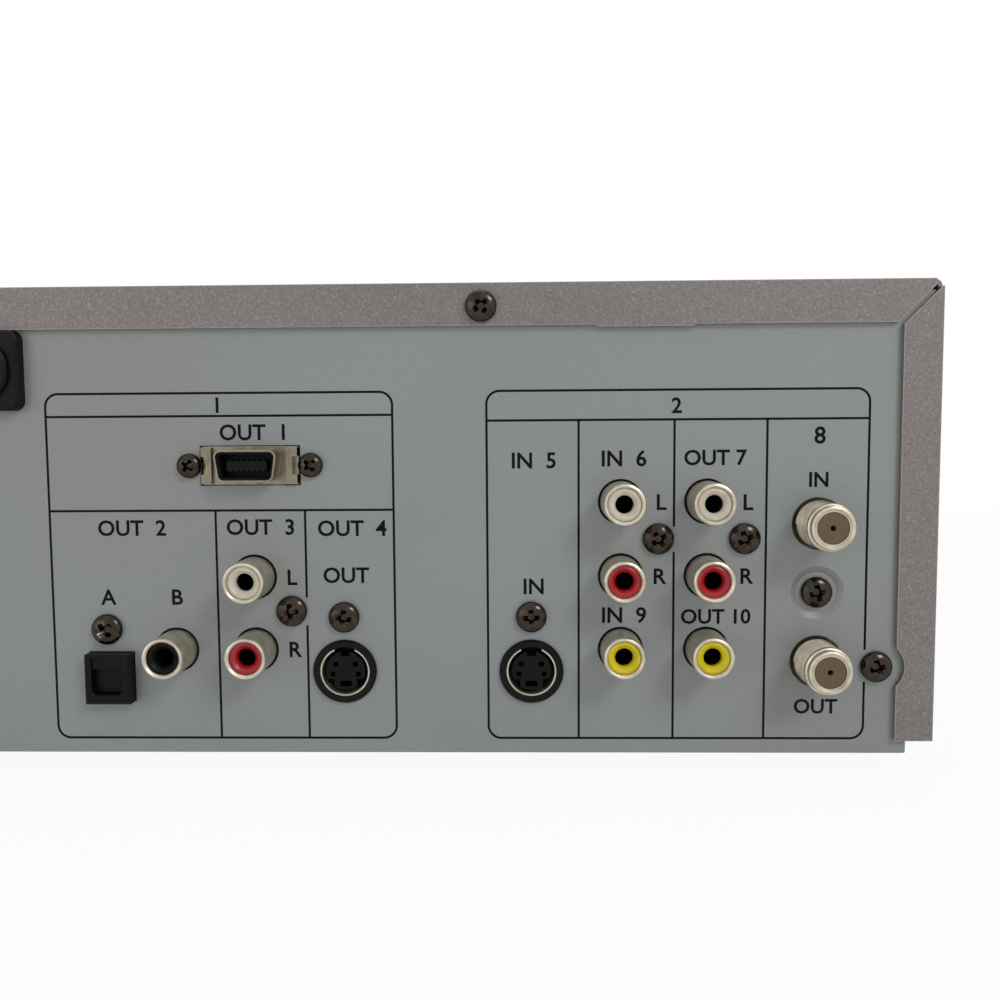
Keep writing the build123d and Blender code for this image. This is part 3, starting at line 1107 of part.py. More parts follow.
def guide_rods():
    y0, y1 = rod_ends()
    return [rod_y(LOADER_X + x, ROD_Z, AXLE, y0 - 1.5, y1 + 1.5) for x in mirrored(ROD_SPACING / 2)]


def pickup_sled():
    lens = SPINDLE_Y + SLED_INNER
    y0, y1 = lens - 7, lens + 17
    half = ROD_SPACING / 2 + 4
    low = TRAVERSE_TOP + SEAT
    sled = block(LOADER_X - half, LOADER_X + half, y0, y1, low, low + 6.5)
    sled += block(LOADER_X - 8, LOADER_X + 8, y0 + 1, y0 + 13, low + 6.5, low + 8.5)
    sled += rod_z(LOADER_X, lens, 3.2, low + 8.5, low + 10)
    for x in mirrored(ROD_SPACING / 2):
        sled -= rod_y(LOADER_X + x, ROD_Z, AXLE + AXLE_FIT, y0 - 1, y1 + 1)
    return sled


def turntable():
    low = TRAVERSE_TOP + 3 + SEAT
    seat = TRAY_TOP - 1.0
    points = [(0, low - 7), (AXLE, low - 7), (AXLE, low), (TURNTABLE_RADIUS - 2, low)]
    points += [(TURNTABLE_RADIUS - 2, seat - 1.4), (TURNTABLE_RADIUS, seat - 1.4), (TURNTABLE_RADIUS, seat)]
    points += [(HUB_RADIUS, seat), (HUB_RADIUS, seat + 1), (HUB_RADIUS - 1.9, seat + 2.6), (0, seat + 2.6)]
    return turned_z(LOADER_X, SPINDLE_Y, points)


def jack_blocks():
    return {"left_jack_block": jack_block(LEFT_COLUMN, (0, 1)),
            "in_jack_block": jack_block(IN_COLUMN, (0, 1, 2)),
            "out_jack_block": jack_block(OUT_COLUMN, (0, 1, 2))}


def nodes():
    made = {"top_cover": top_cover(), "rear_panel": rear_panel(), "bottom_chassis": bottom_chassis(),
            "feet": feet(), "front_panel": front_panel(), "display_window": display_window(),
            "cassette_flap": cassette_flap(), "front_board": front_board(), "side_screws": side_screws()}
    made["rear_screws"] = [screw_y(x, z, seat) for x, z, seat in rear_screw_places()]
    for name, x, z, cap in buttons():
        made[name] = button(x, z, cap)
    made.update(jack_blocks())
    made.update({"phono_shells": phono_shells(), "coax_jack": coax_jack(),
                 "front_jack_block": front_jack_block(), "din_bodies": din_bodies(),
                 "din_rings": din_rings(), "optical_jack": optical_jack(),
                 "optical_shutter": optical_shutter(), "component_shell": component_shell(),
                 "component_insert": component_insert(), "component_screws": component_screws(),
                 "mains_inlet": mains_inlet(), "inlet_pins": inlet_pins(), "tuner_can": tuner_can(),
                 "antenna_sockets": antenna_sockets(), "dielectrics": dielectrics()})
    for colour in ("white", "red", "yellow"):
        made[colour + "_inserts"] = inserts(colour)
    made.update({"main_board": main_board(), "power_board": power_board(), "transformer": transformer()})
    supply, takeup = reel_places()
    made.update({"deck_plate": deck_plate(), "supply_reel": reel_table(*supply),
                 "takeup_reel": reel_table(*takeup), "lower_drum": lower_drum(),
                 "upper_drum": upper_drum(), "capstan": capstan(), "pinch_arm": pinch_arm(),
                 "pinch_roller": pinch_roller(), "carriage_slider": carriage_slider(),
                 "cassette_carriage": cassette_carriage()})
    made.update({"loader_frame": loader_frame(), "disc_tray": disc_tray(), "tray_fascia": tray_fascia(),
                 "clamp_puck": clamp_puck(), "traverse": traverse(), "guide_rods": guide_rods(),
                 "pickup_sled": pickup_sled(), "turntable": turntable()})
    return made


os.makedirs("parts", exist_ok=True)
for name, shape in nodes().items():
    solids = shape if isinstance(shape, list) else [shape]
    bodies = [solid for piece in solids for solid in piece.solids()]
    whole = bodies[0] if len(bodies) == 1 else Compound(children=bodies)
    export_step(whole, f"parts/{name}.step")
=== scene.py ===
import json
import math

import bmesh
import bpy
from mathutils import Matrix, Vector


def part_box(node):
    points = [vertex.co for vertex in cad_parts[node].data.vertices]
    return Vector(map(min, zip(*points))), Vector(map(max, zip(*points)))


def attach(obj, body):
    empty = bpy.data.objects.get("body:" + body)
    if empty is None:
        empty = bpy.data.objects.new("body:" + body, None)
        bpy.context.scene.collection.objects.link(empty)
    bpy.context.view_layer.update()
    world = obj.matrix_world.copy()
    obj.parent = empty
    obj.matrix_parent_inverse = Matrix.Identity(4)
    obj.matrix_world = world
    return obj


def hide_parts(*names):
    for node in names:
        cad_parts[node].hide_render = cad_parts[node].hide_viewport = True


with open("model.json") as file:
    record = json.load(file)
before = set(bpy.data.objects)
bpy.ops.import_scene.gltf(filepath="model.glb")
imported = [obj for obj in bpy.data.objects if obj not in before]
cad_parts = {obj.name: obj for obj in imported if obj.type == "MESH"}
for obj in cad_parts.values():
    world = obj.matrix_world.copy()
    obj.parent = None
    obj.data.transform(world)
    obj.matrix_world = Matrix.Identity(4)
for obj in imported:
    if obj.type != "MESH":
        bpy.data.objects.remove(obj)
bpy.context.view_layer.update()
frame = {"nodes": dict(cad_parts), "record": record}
NODES = frame["nodes"]
MM = 0.001

# ---- places on the rear panel, in millimetres, read from the frame
PANEL_LOW, PANEL_HIGH = (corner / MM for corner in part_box("rear_panel"))
PANEL = PANEL_HIGH.y                    # outer face of the rear panel
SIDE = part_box("top_cover")[0].x / MM    # the cover's outer side, on the right seen from behind
BASE = PANEL_LOW.z                      # the panel's lower edge
INK_LIFT = 0.02                         # ink stands this far off the paint


# ---- small helpers
def linear(code):
    """A sRGB hex colour as linear RGBA."""
    parts = [int(code[i:i + 2], 16) / 255 for i in (1, 3, 5)]
    return tuple(p / 12.92 if p <= 0.04045 else ((p + 0.055) / 1.055) ** 2.4 for p in parts) + (1.0,)


def add(tree, kind, settings=None, inputs=None):
    """Adds a node; an input is a value or the socket that feeds it."""
    node = tree.nodes.new(kind)
    for name, value in (settings or {}).items():
        setattr(node, name, value)
    for name, value in (inputs or {}).items():
        if isinstance(value, bpy.types.NodeSocket):
            tree.links.new(value, node.inputs[name])
        else:
            node.inputs[name].default_value = value
    return node


def new_object(name, data):
    obj = bpy.data.objects.new(name, data)
    bpy.context.scene.collection.objects.link(obj)
    return obj


def bake(obj):
    """The evaluated object as a plain mesh object of the same name."""
    bpy.context.view_layer.update()
    graph = bpy.context.evaluated_depsgraph_get()
    mesh = bpy.data.meshes.new_from_object(obj.evaluated_get(graph))
    name = obj.name
    obj.name = name + "_source"
    made = new_object(name, mesh)
    bpy.data.objects.remove(obj)
    return made


def smooth(obj, degrees=32.0):
    """Smooth shading that keeps edges sharper than the angle."""
    mesh = obj.data
    mesh.polygons.foreach_set("use_smooth", [True] * len(mesh.polygons))
    form = bmesh.new()
    form.from_mesh(mesh)
    limit = math.radians(degrees)
    for edge in form.edges:
        edge.smooth = len(edge.link_faces) == 2 and edge.calc_face_angle(0.0) < limit
    form.to_mesh(mesh)
    form.free()
    return obj


def dress(obj, body, slot, material, *replaced):
    """Puts a finished piece on its body with its material."""
    obj.data.materials.clear()
    obj.data.materials.append(material)
    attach(obj, body)
    if replaced:
        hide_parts(*replaced)
    return obj


# ---- finishes
def blend_colour(tree, share, first, second):
    return add(tree, "ShaderNodeMix", {"data_type": "RGBA"}, {0: share, 6: first, 7: second}).outputs[2]


def finish(name, colour, second, metallic=0.0, roughness=0.5, patch=40.0, grain=0.5, depth=0.006,
           streak=(1.0, 1.0, 1.0), uneven=0.08, fleck=None, edge=None, **constants):
    """A surface with slow colour patches, fine grain in bump and roughness, and optional flecks.

    patch, grain and depth are millimetres; streak stretches the grain along an axis;
    fleck is (size in mm, dark hex, light hex, share); edge is (radius in mm, hex) of a painted highlight
    on the edges.
    """
    material = bpy.data.materials.new(name)
    material.use_nodes = True
    tree = material.node_tree
    tree.nodes.clear()
    place = add(tree, "ShaderNodeTexCoord").outputs["Object"]
    slow = add(tree, "ShaderNodeTexNoise", {}, {"Vector": place, "Scale": 1000 / patch, "Detail": 3.0})
    steer = add(tree, "ShaderNodeMapRange", {},
                {"Value": slow.outputs["Fac"], "From Min": 0.3, "From Max": 0.7})
    tone = blend_colour(tree, steer.outputs["Result"], linear(colour), linear(second))
    turned = add(tree, "ShaderNodeMapping", {}, {"Vector": place, "Scale": streak}).outputs["Vector"]
    fine = add(tree, "ShaderNodeTexNoise", {}, {"Vector": turned, "Scale": 1000 / grain, "Detail": 2.0})
    if fleck:
        size, dark, light, share = fleck
        flakes = add(tree, "ShaderNodeTexNoise", {},
                     {"Vector": place, "Scale": 1000 / size, "Detail": 1.0})
        for code, low, high in ((dark, 0.42, 0.26), (light, 0.58, 0.74)):
            spots = {"Value": flakes.outputs["Fac"], "From Min": low, "From Max": high, "To Max": share}
            on = add(tree, "ShaderNodeMapRange", {}, spots)
            tone = blend_colour(tree, on.outputs["Result"], tone, linear(code))
    # edges get a lighter colour where the bevel turns the normal: a painted highlight on edges and bends
    if edge:
        radius, code = edge
        bevel = add(tree, "ShaderNodeBevel", {"samples": 4}, {"Radius": radius * MM})
        flat = add(tree, "ShaderNodeNewGeometry")
        turn = add(tree, "ShaderNodeVectorMath", {"operation": "DOT_PRODUCT"},
                   {0: bevel.outputs["Normal"], 1: flat.outputs["Normal"]})
        edge_highlight = add(tree, "ShaderNodeMapRange", {},
                   {"Value": turn.outputs["Value"], "From Min": 0.98, "From Max": 0.8, "To Max": 0.7})
        tone = blend_colour(tree, edge_highlight.outputs["Result"], tone, linear(code))
    rough = add(tree, "ShaderNodeMapRange", {},
                {"Value": fine.outputs["Fac"], "From Min": 0.25, "From Max": 0.75,
                 "To Min": max(roughness - uneven, 0.02), "To Max": roughness + uneven})
    bump = add(tree, "ShaderNodeBump", {},
               {"Height": fine.outputs["Fac"], "Distance": depth * MM, "Strength": 1.0})
    shader = add(tree, "ShaderNodeBsdfPrincipled", {},
                 {"Base Color": tone, "Roughness": rough.outputs["Result"],
                  "Normal": bump.outputs["Normal"], "Metallic": metallic})
    for socket, value in constants.items():
        shader.inputs[socket.replace("_", " ")].default_value = value
    add(tree, "ShaderNodeOutputMaterial", {}, {"Surface": shader.outputs["BSDF"]})
    return material


# sheet steel, sprayed with metallic flake: fine sparkle over a faint leather grain; edges and bends
# lighter as a painted highlight
cover_paint = finish("cover_paint", "#7B7572", "#736D6A", metallic=0.2, roughness=0.45, patch=70,
                     grain=0.6, depth=0.02, fleck=(0.34, "#524C49", "#A29B97", 0.6),
                     edge=(0.45, "#B4AEAA"))
# coil-coated steel, semi-matt blue-grey: smooth, with slow clouds of handling
panel_paint = finish("panel_paint", "#898E8E", "#828583", metallic=0.12, roughness=0.45, patch=90,
                     grain=0.35, depth=0.004, fleck=(0.3, "#707474", "#A2A7A7", 0.45))
# zinc-plated sheet: cool spangle
zinc_sheet = finish("zinc_sheet", "#B4B6B4", "#9FA2A2", metallic=0.9, roughness=0.38, patch=8,
                    grain=0.4)
# silver paint over a moulded front: faint flake, soft gloss
front_paint = finish("front_paint", "#A9A9AB", "#A2A2A5", metallic=0.4, roughness=0.36, patch=80,
                     grain=0.25, depth=0.003, fleck=(0.3, "#949497", "#C0C0C2", 0.3),
                     Coat_Weight=0.15)
# cast acrylic, smoked: polished and nearly black
smoked_acrylic = finish("smoked_acrylic", "#14171A", "#101316", roughness=0.08, uneven=0.02, patch=50,
                        grain=2.0, depth=0.001, Coat_Weight=0.6, Coat_Roughness=0.04)
# vulcanised rubber: matt with a dusty bloom
foot_rubber = finish("foot_rubber", "#1C1C1C", "#262524", roughness=0.85, patch=6, grain=0.4,
                     depth=0.02)
# glass-fibre laminate under green solder mask
solder_mask = finish("solder_mask", "#1E5A37", "#174A2D", roughness=0.32, patch=12, grain=0.9,
                     depth=0.02, Coat_Weight=0.3)
# black nickel on steel: dark bronze mirror, lighter on its edges as a painted highlight
black_nickel = finish("black_nickel", "#443D37", "#322D29", metallic=1.0, roughness=0.18, patch=1.5,
                      grain=0.3, depth=0.004, edge=(0.12, "#8C8378"))
# bright nickel on brass, aged: warm grey with faint turning marks along the barrel; lighter on its edges
# as a painted highlight
warm_nickel = finish("warm_nickel", "#CFC7B4", "#ADA593", metallic=0.85, roughness=0.38, patch=2.5,
                     grain=0.25, depth=0.004, streak=(1.0, 5.0, 1.0), uneven=0.1,
                     edge=(0.12, "#D8D0BC"))
# plated sheet of the connector shell: smoother; darker as a painted reflection of dark surroundings,
# bright on its edges as a painted highlight
shell_nickel = finish("shell_nickel", "#8F8877", "#6E6757", metallic=1.0, roughness=0.26, patch=3,
                      grain=0.3, depth=0.003, edge=(0.12, "#D2CAB4"))
# the plating of the sockets' cores, between the ridges of the thread: darker and duller than the
# thread's nickel, as painted shade in the grooves
groove_nickel = finish("groove_nickel", "#4C4739", "#3B372C", metallic=1.0, roughness=0.5, patch=1.5,
                       grain=0.2)
# black PBT, moulded with a fine spark-eroded texture
black_pbt = finish("black_pbt", "#08080A", "#0D0D0E", roughness=0.42, patch=6, grain=0.35, depth=0.006,
                   Specular_IOR_Level=0.12)
# jack inserts, ABS: cream, red and yellow, glossy from a polished core pin
cream_abs = finish("cream_abs", "#D2CCBB", "#C4BDAA", roughness=0.34, patch=2, grain=0.4, depth=0.003,
                   Subsurface_Weight=0.1, Subsurface_Scale=0.001)
red_abs = finish("red_abs", "#A8161F", "#94121A", roughness=0.3, patch=2, grain=0.4, depth=0.003)
yellow_abs = finish("yellow_abs", "#D9C80C", "#C9B708", roughness=0.32, patch=2, grain=0.4,
                    depth=0.003)
# phenolic insulator: brown, matt, slightly mottled
brown_phenolic = finish("brown_phenolic", "#5F4E38", "#53432F", roughness=0.6, patch=0.8, grain=0.2,
                        depth=0.01)
# keys, painted and clear-coated
key_paint = finish("key_paint", "#C4C4C6", "#BBBBBE", metallic=0.35, roughness=0.28, patch=12, grain=0.3,
                   depth=0.002, Coat_Weight=0.4)
# tinplate of the tuner can: bright, softly mottled
tinplate = finish("tinplate", "#C4C4BE", "#B0B0AA", metallic=1.0, roughness=0.34, patch=4, grain=0.5)
# turned and polished aluminium of the drums: circular marks read as very fine grain
turned_aluminium = finish("turned_aluminium", "#D6D7DA", "#C9CACE", metallic=1.0, roughness=0.18,
                          patch=12, grain=0.2, depth=0.002, streak=(1.0, 1.0, 8.0))
# centreless-ground steel
ground_steel = finish("ground_steel", "#B9BABC", "#A9AAAD", metallic=1.0, roughness=0.2, patch=5,
                      grain=0.2, depth=0.002)
# drawn brass pins, dulled
drawn_brass = finish("drawn_brass", "#B89A62", "#A5864F", metallic=1.0, roughness=0.28, patch=1,
                     grain=0.2)
# dark grey ABS of tray and sled, spark-eroded
grey_abs = finish("grey_abs", "#3A3B3D", "#343537", roughness=0.48, patch=20, grain=0.4,
                  depth=0.008)
# natural acetal of the reel tables
white_acetal = finish("white_acetal", "#DADAD4", "#D0D0C9", roughness=0.4, patch=8, grain=0.5,
                      depth=0.004, Subsurface_Weight=0.1, Subsurface_Scale=0.001)
# stacked laminations of the transformer: lines across the core
laminated_iron = finish("laminated_iron", "#4A4642", "#3C3936", metallic=0.7, roughness=0.5, patch=5,
                        grain=0.5, depth=0.03, streak=(1.0, 8.0, 1.0))
# screen-printed ink: flat black, slightly open
print_ink = finish("print_ink", "#060607", "#0C0C0D", roughness=0.7, patch=1.0, grain=0.15,
                   depth=0.002, Specular_IOR_Level=0.1)

BY_SLOT = {
    "cover_steel": cover_paint, "panel_steel": panel_paint, "chassis_steel": zinc_sheet,
    "front_plastic": front_paint, "smoked_plastic": smoked_acrylic, "rubber": foot_rubber,
    "board": solder_mask, "dark_screw": black_nickel, "nickel": warm_nickel, "black_plastic": black_pbt,
    "white_plastic": cream_abs, "red_plastic": red_abs, "yellow_plastic": yellow_abs,
    "brown_plastic": brown_phenolic, "button_plastic": key_paint, "tin_plate": tinplate,
    "deck_steel": zinc_sheet, "drum_aluminium": turned_aluminium, "machined_steel": ground_steel,
    "brass": drawn_brass, "tray_plastic": grey_abs, "loader_plastic": black_pbt,
    "roller_rubber": foot_rubber, "reel_plastic": white_acetal, "transformer_core": laminated_iron,
}


def dress_frame():
    for part in frame["record"]["subparts"]:
        obj = NODES[part["node"]]
        material = BY_SLOT[part["material_slot"]]
        for slot in obj.material_slots:
            slot.material = material
    # the connector shell: nickel darkened as a painted reflection, with a painted highlight on its edges
    for slot in NODES["component_shell"].material_slots:
        slot.material = shell_nickel


# ---- turned pieces
def lathe(name, points, spots, segments=72, axis="Y"):
    """One mesh of turned copies; points are (radius, along) in mm, spots are (x, y, z) in mm."""
    form = bmesh.new()
    for spot in spots:
        rings = []
        for radius, along in points:
            if radius == 0:
                rings.append([form.verts.new(turned_point(0, along, 0, spot, axis))])
                continue
            angles = [2 * math.pi * i / segments for i in range(segments)]
            rings.append([form.verts.new(turned_point(radius, along, angle, spot, axis))
                          for angle in angles])
        for ring, following in zip(rings, rings[1:] + rings[:1]):
            join_rings(form, ring, following, segments)
    bmesh.ops.recalc_face_normals(form, faces=form.faces)
    mesh = bpy.data.meshes.new(name)
    form.to_mesh(mesh)
    form.free()
    return smooth(new_object(name, mesh))


def turned_point(radius, along, angle, spot, axis):
    across, up = radius * math.cos(angle), radius * math.sin(angle)
    x, y, z = spot
    if axis == "Y":
        return Vector((x + across, y + along, z + up)) * MM
    return Vector((x + across, y + up, z + along)) * MM


def join_rings(form, ring, following, segments):
    if len(ring) == 1 and len(following) == 1:
        return
    for i in range(segments):
        j = (i + 1) % segments
        if len(ring) == 1:
            form.faces.new((ring[0], following[j], following[i]))
        elif len(following) == 1:
            form.faces.new((ring[i], ring[j], following[0]))
        else:
            form.faces.new((ring[i], ring[j], following[j], following[i]))


def islands(node):
    """The lowest and highest corner, in mm, of each separate solid of a CAD node, from -X to +X."""
    form = bmesh.new()
    form.from_mesh(NODES[node].data)
    bmesh.ops.remove_doubles(form, verts=form.verts, dist=1e-6)
    left, found = set(form.verts), []
    while left:
        stack, island = [left.pop()], []
        while stack:
            vert = stack.pop()
            island.append(vert.co / MM)
            near = {edge.other_vert(vert) for edge in vert.link_edges} & left
            left -= near
            stack += near
        found.append(tuple(Vector([pick(c[i] for c in island) for i in range(3)])
                           for pick in (min, max)))
    form.free()
    return sorted(found, key=lambda pair: tuple(pair[0]))


# ---- the print on the rear panel: x is measured from the cover's -X side, z from the panel's lower edge
FRAME_HEIGHTS = (3.05, 73.8)            # lower and upper line of both frames
LEFT_FRAME = {"x": (108.5, 178.8), "z": FRAME_HEIGHTS}
RIGHT_FRAME = {"x": (13.6, 89.6), "z": FRAME_HEIGHTS, "gap": (14.7, 21.3)}
# rules inside the frames; a gap is the stretch of height that a screw head interrupts
LEFT_LEVELS = (69.2, 50.1)              # under the heading, and under the upper field
LEFT_UPRIGHTS = ((144.75, None), (126.5, (26.5, 32.2)))
RIGHT_LEVELS = (67.9,)
RIGHT_UPRIGHTS = ((71.2, None), (33.7, None), (52.1, (41.3, 46.4)))
INK_WIDTH = 0.46
INK_RADIUS = 2.6
INK_THIN = 0.9                          # the rules' film, as a share of the frames'
STROKE_SWELL = 0.085                    # letters are printed this much fatter all round
CAPITAL_SHARE = 0.7                     # a capital's height as a share of the font's size


def frame_tree():
    """A rounded rectangular outline swept with a flat ribbon of ink."""
    tree = bpy.data.node_groups.new("printed_frame", "GeometryNodeTree")
    tree.is_modifier = True
    face = tree.interface
    for label, kind, value in (("Width", "NodeSocketFloat", 0.07), ("Height", "NodeSocketFloat", 0.07),
                               ("Corner", "NodeSocketFloat", INK_RADIUS * MM),
                               ("Ink", "NodeSocketFloat", INK_WIDTH * MM),
                               ("Film", "NodeSocketFloat", INK_LIFT * MM)):
        face.new_socket(label, in_out="INPUT", socket_type=kind).default_value = value
    face.new_socket("Material", in_out="INPUT", socket_type="NodeSocketMaterial")
    face.new_socket("Geometry", in_out="OUTPUT", socket_type="NodeSocketGeometry")
    given = add(tree, "NodeGroupInput").outputs
    outline = add(tree, "GeometryNodeCurvePrimitiveQuadrilateral", {"mode": "RECTANGLE"},
                  {"Width": given["Width"], "Height": given["Height"]})
    rounded = add(tree, "GeometryNodeFilletCurve", {"mode": "POLY"},
                  {"Curve": outline.outputs["Curve"], "Count": 10, "Radius": given["Corner"],
                   "Limit Radius": True})
    ribbon = add(tree, "GeometryNodeCurvePrimitiveQuadrilateral", {"mode": "RECTANGLE"},
                 {"Width": given["Ink"], "Height": given["Film"]})
    swept = add(tree, "GeometryNodeCurveToMesh", {},
                {"Curve": rounded.outputs["Curve"], "Profile Curve": ribbon.outputs["Curve"]})
    real = add(tree, "GeometryNodeRealizeInstances", {}, {"Geometry": swept.outputs["Mesh"]})
    inked = add(tree, "GeometryNodeSetMaterial", {},
                {"Geometry": real.outputs["Geometry"], "Material": given["Material"]})
    add(tree, "NodeGroupOutput", {}, {"Geometry": inked.outputs["Geometry"]})
    return tree


def grow(name, tree, values, place=Matrix.Identity(4), mesh=None):
    """Runs a geometry tree with its named inputs and keeps the result as a plain mesh."""
    holder = new_object(name, mesh or bpy.data.meshes.new(name))
    modifier = holder.modifiers.new("grow", "NODES")
    modifier.node_group = tree
    for item in tree.interface.items_tree:
        if item.item_type == "SOCKET" and item.in_out == "INPUT" and item.name in values:
            modifier[item.identifier] = values[item.name]
    made = bake(holder)
    made.data.transform(place)
    return made


def panel_place(x, z, lift):
    """Stands a flat drawing up on the rear panel, reading from behind."""
    turn = Matrix(((-1, 0, 0), (0, 0, 1), (0, 1, 0))).to_4x4()
    return Matrix.Translation(Vector((SIDE + x, PANEL + lift, BASE + z)) * MM) @ turn


def break_outline(obj, gap):
    """Leaves the outline's -X side open between two heights, where a screw head stands."""
    form = bmesh.new()
    form.from_mesh(obj.data)
    low, high = ((BASE + z) * MM for z in gap)
    for z in (low, high):
        everything = form.verts[:] + form.edges[:] + form.faces[:]
        bmesh.ops.bisect_plane(form, geom=everything, plane_co=(0, 0, z), plane_no=(0, 0, 1))
    edge = min(vert.co.x for vert in form.verts) + 2 * INK_WIDTH * MM
    centres = [(face, face.calc_center_median()) for face in form.faces]
    lost = [face for face, centre in centres if low < centre.z < high and centre.x < edge]
    bmesh.ops.delete(form, geom=lost, context="FACES")
    bmesh.ops.holes_fill(form, edges=[e for e in form.edges if e.is_boundary], sides=4)
    form.to_mesh(obj.data)
    form.free()


def printed_frames():
    tree = frame_tree()
    for name, spec in (("left_frame", LEFT_FRAME), ("right_frame", RIGHT_FRAME)):
        (x0, x1), (z0, z1) = spec["x"], spec["z"]
        values = {"Width": (x1 - x0) * MM, "Height": (z1 - z0) * MM, "Material": print_ink}
        outline = grow(name, tree, values, panel_place((x0 + x1) / 2, (z0 + z1) / 2, INK_LIFT / 2))
        if "gap" in spec:
            break_outline(outline, spec["gap"])
        dress(outline, "case", "black_plastic", print_ink)


def box_mesh(form, low, high):
    """Adds a box between two corners in mm."""
    size = high - low
    middle = (low + high) / 2
    matrix = Matrix.Translation(middle * MM) @ Matrix.Diagonal((*(size * MM), 1.0))
    bmesh.ops.create_cube(form, size=1.0, matrix=matrix)


def rule_ends(spec, levels, uprights):
    """The two ends of each straight rule of one frame; the last level is the uprights' upper end."""
    x0, x1 = spec["x"]
    low, high = spec["z"][0], levels[-1]
    ends = [((x0, z), (x1, z)) for z in levels]
    for x, gap in uprights:
        stretches = ((low, gap[0]), (gap[1], high)) if gap else ((low, high),)
        ends += [((x, start), (x, end)) for start, end in stretches]
    return ends


def printed_rules():
    """Straight rules inside the frames, broken where a screw stands on them."""
    form = bmesh.new()
    half, film = INK_WIDTH / 2, INK_LIFT * INK_THIN
    rules = rule_ends(LEFT_FRAME, LEFT_LEVELS, LEFT_UPRIGHTS)
    rules += rule_ends(RIGHT_FRAME, RIGHT_LEVELS, RIGHT_UPRIGHTS)
    for (xa, za), (xb, zb) in rules:
        wide, tall = (half, 0) if xa == xb else (0, half)
        low_corner = Vector((SIDE + xa - wide, PANEL, BASE + za - tall))
        high_corner = Vector((SIDE + xb + wide, PANEL + film, BASE + zb + tall))
        box_mesh(form, low_corner, high_corner)
    mesh = bpy.data.meshes.new("printed_rules")
    form.to_mesh(mesh)
    form.free()
    dress(new_object("printed_rules", mesh), "case", "black_plastic", print_ink)


# generic marks: (text, x, z, height in mm)
MARKS = (
    ("1", 143.8, 71.2, 3.0), ("OUT  1", 136.5, 65.7, 3.1), ("OUT  2", 162.0, 46.4, 3.1),
    ("OUT  3", 135.6, 46.5, 3.1), ("OUT  4", 117.0, 46.2, 3.1), ("A", 167.3, 32.2, 3.1),
    ("B", 153.2, 32.2, 3.1), ("L", 129.5, 36.2, 3.1), ("R", 129.2, 21.3, 3.1), ("OUT", 118.4, 36.6, 3.1),
    ("2", 51.7, 70.5, 3.0), ("IN  5", 80.2, 59.7, 3.1), ("IN  6", 62.2, 60.0, 3.1),
    ("OUT 7", 44.0, 60.1, 3.0), ("8", 23.3, 64.4, 3.3), ("IN", 23.4, 55.6, 2.9), ("L", 54.7, 51.2, 3.1),
    ("L", 37.4, 51.1, 3.1), ("R", 55.0, 36.2, 3.1), ("R", 37.6, 36.2, 3.1), ("IN", 80.3, 34.2, 3.1),
    ("IN  9", 62.1, 28.3, 3.1), ("OUT 10", 43.6, 28.0, 2.9), ("OUT", 23.3, 9.5, 2.9),
)


def mark_mesh(text, height, name):
    """A word as a thin plate of ink, centred on its middle."""
    curve = bpy.data.curves.new(name, "FONT")
    curve.body = text
    curve.size = height * MM / CAPITAL_SHARE
    curve.align_x = "CENTER"
    curve.align_y = "CENTER"
    curve.extrude = INK_LIFT * MM / 2
    curve.offset = STROKE_SWELL * MM
    curve.resolution_u = 3
    return bake(new_object(name, curve))


def join(name, objects):
    """One object from the meshes of several, which are removed."""
    form = bmesh.new()
    for obj in objects:
        form.from_mesh(obj.data)
        bpy.data.objects.remove(obj)
    mesh = bpy.data.meshes.new(name)
    form.to_mesh(mesh)
    form.free()
    return new_object(name, mesh)


def printed_marks():
    made = []
    for i, (text, x, z, height) in enumerate(MARKS):
        word = mark_mesh(text, height, f"mark_{i}")
        word.data.transform(panel_place(x, z, INK_LIFT / 2))
        made.append(word)
    dress(join("printed_marks", made), "case", "black_plastic", print_ink)


# ---- screws: a pan head with a cross recess, set on points
SCREW_HEAD = 1.9              # height of the pan heads
SHANK_SHARE = 0.45            # of the head's radius
SKIRT = (0.93, 0.08, 0.3)     # seat radius, and the heights where the skirt starts and ends, as shares
DOME_STEPS = 8
RECESS_SHARE = (0.64, 0.19)   # half length and half width of a recess arm, of the head's radius
RECESS_DEPTH = 0.95           # of the head's height
RECESS_MOUTH = (1.15, 1.3)    # the cutter's spread and height above the head
RECESS_FLOOR = 0.3            # the cutter's spread at its bottom
SCREW_BREAK = 0.05            # mm taken off the sharp edges
SCREW_EDGE = 35               # degrees from which an edge is sharp
SCREW_SEGMENTS = 48
SCREW_SEED = 7
# (node, axis it points along, turn of each recess in degrees from -X to +X, random turn in radians)
SCREW_ROWS = (
    ("rear_screws", 1, (15, 12, 30, 35, 0, 40, -8, 5, 45, 20, 30), 0.05),
    ("component_screws", 1, (40, 55), 0.05),
    ("side_screws", 0, (0, 0, 0, 0), 0.7),
)


def recess_bar(radius, height, turn):
    """One tapered arm pair of the cross, wider at its mouth."""
    form = bmesh.new()
    long, slim = (radius * share for share in RECESS_SHARE)
    rings = []
    mouth, floor = height * RECESS_MOUTH[1], height * (1 - RECESS_DEPTH)
    for spread, z in ((RECESS_MOUTH[0], mouth), (RECESS_FLOOR, floor)):
        corners = [(long, slim), (-long, slim), (-long, -slim), (long, -slim)]
        spin = Matrix.Rotation(turn, 3, "Z")
        rings.append([form.verts.new(spin @ Vector((x * spread, y * (0.5 + spread / 2), z)) * MM)
                      for x, y in corners])
    form.faces.new(rings[0])
    form.faces.new(rings[1][::-1])
    for i in range(4):
        j = (i + 1) % 4
        form.faces.new((rings[0][i], rings[1][i], rings[1][j], rings[0][j]))
    bmesh.ops.recalc_face_normals(form, faces=form.faces)
    mesh = bpy.data.meshes.new("recess_bar")
    form.to_mesh(mesh)
    form.free()
    return new_object("recess_bar", mesh)


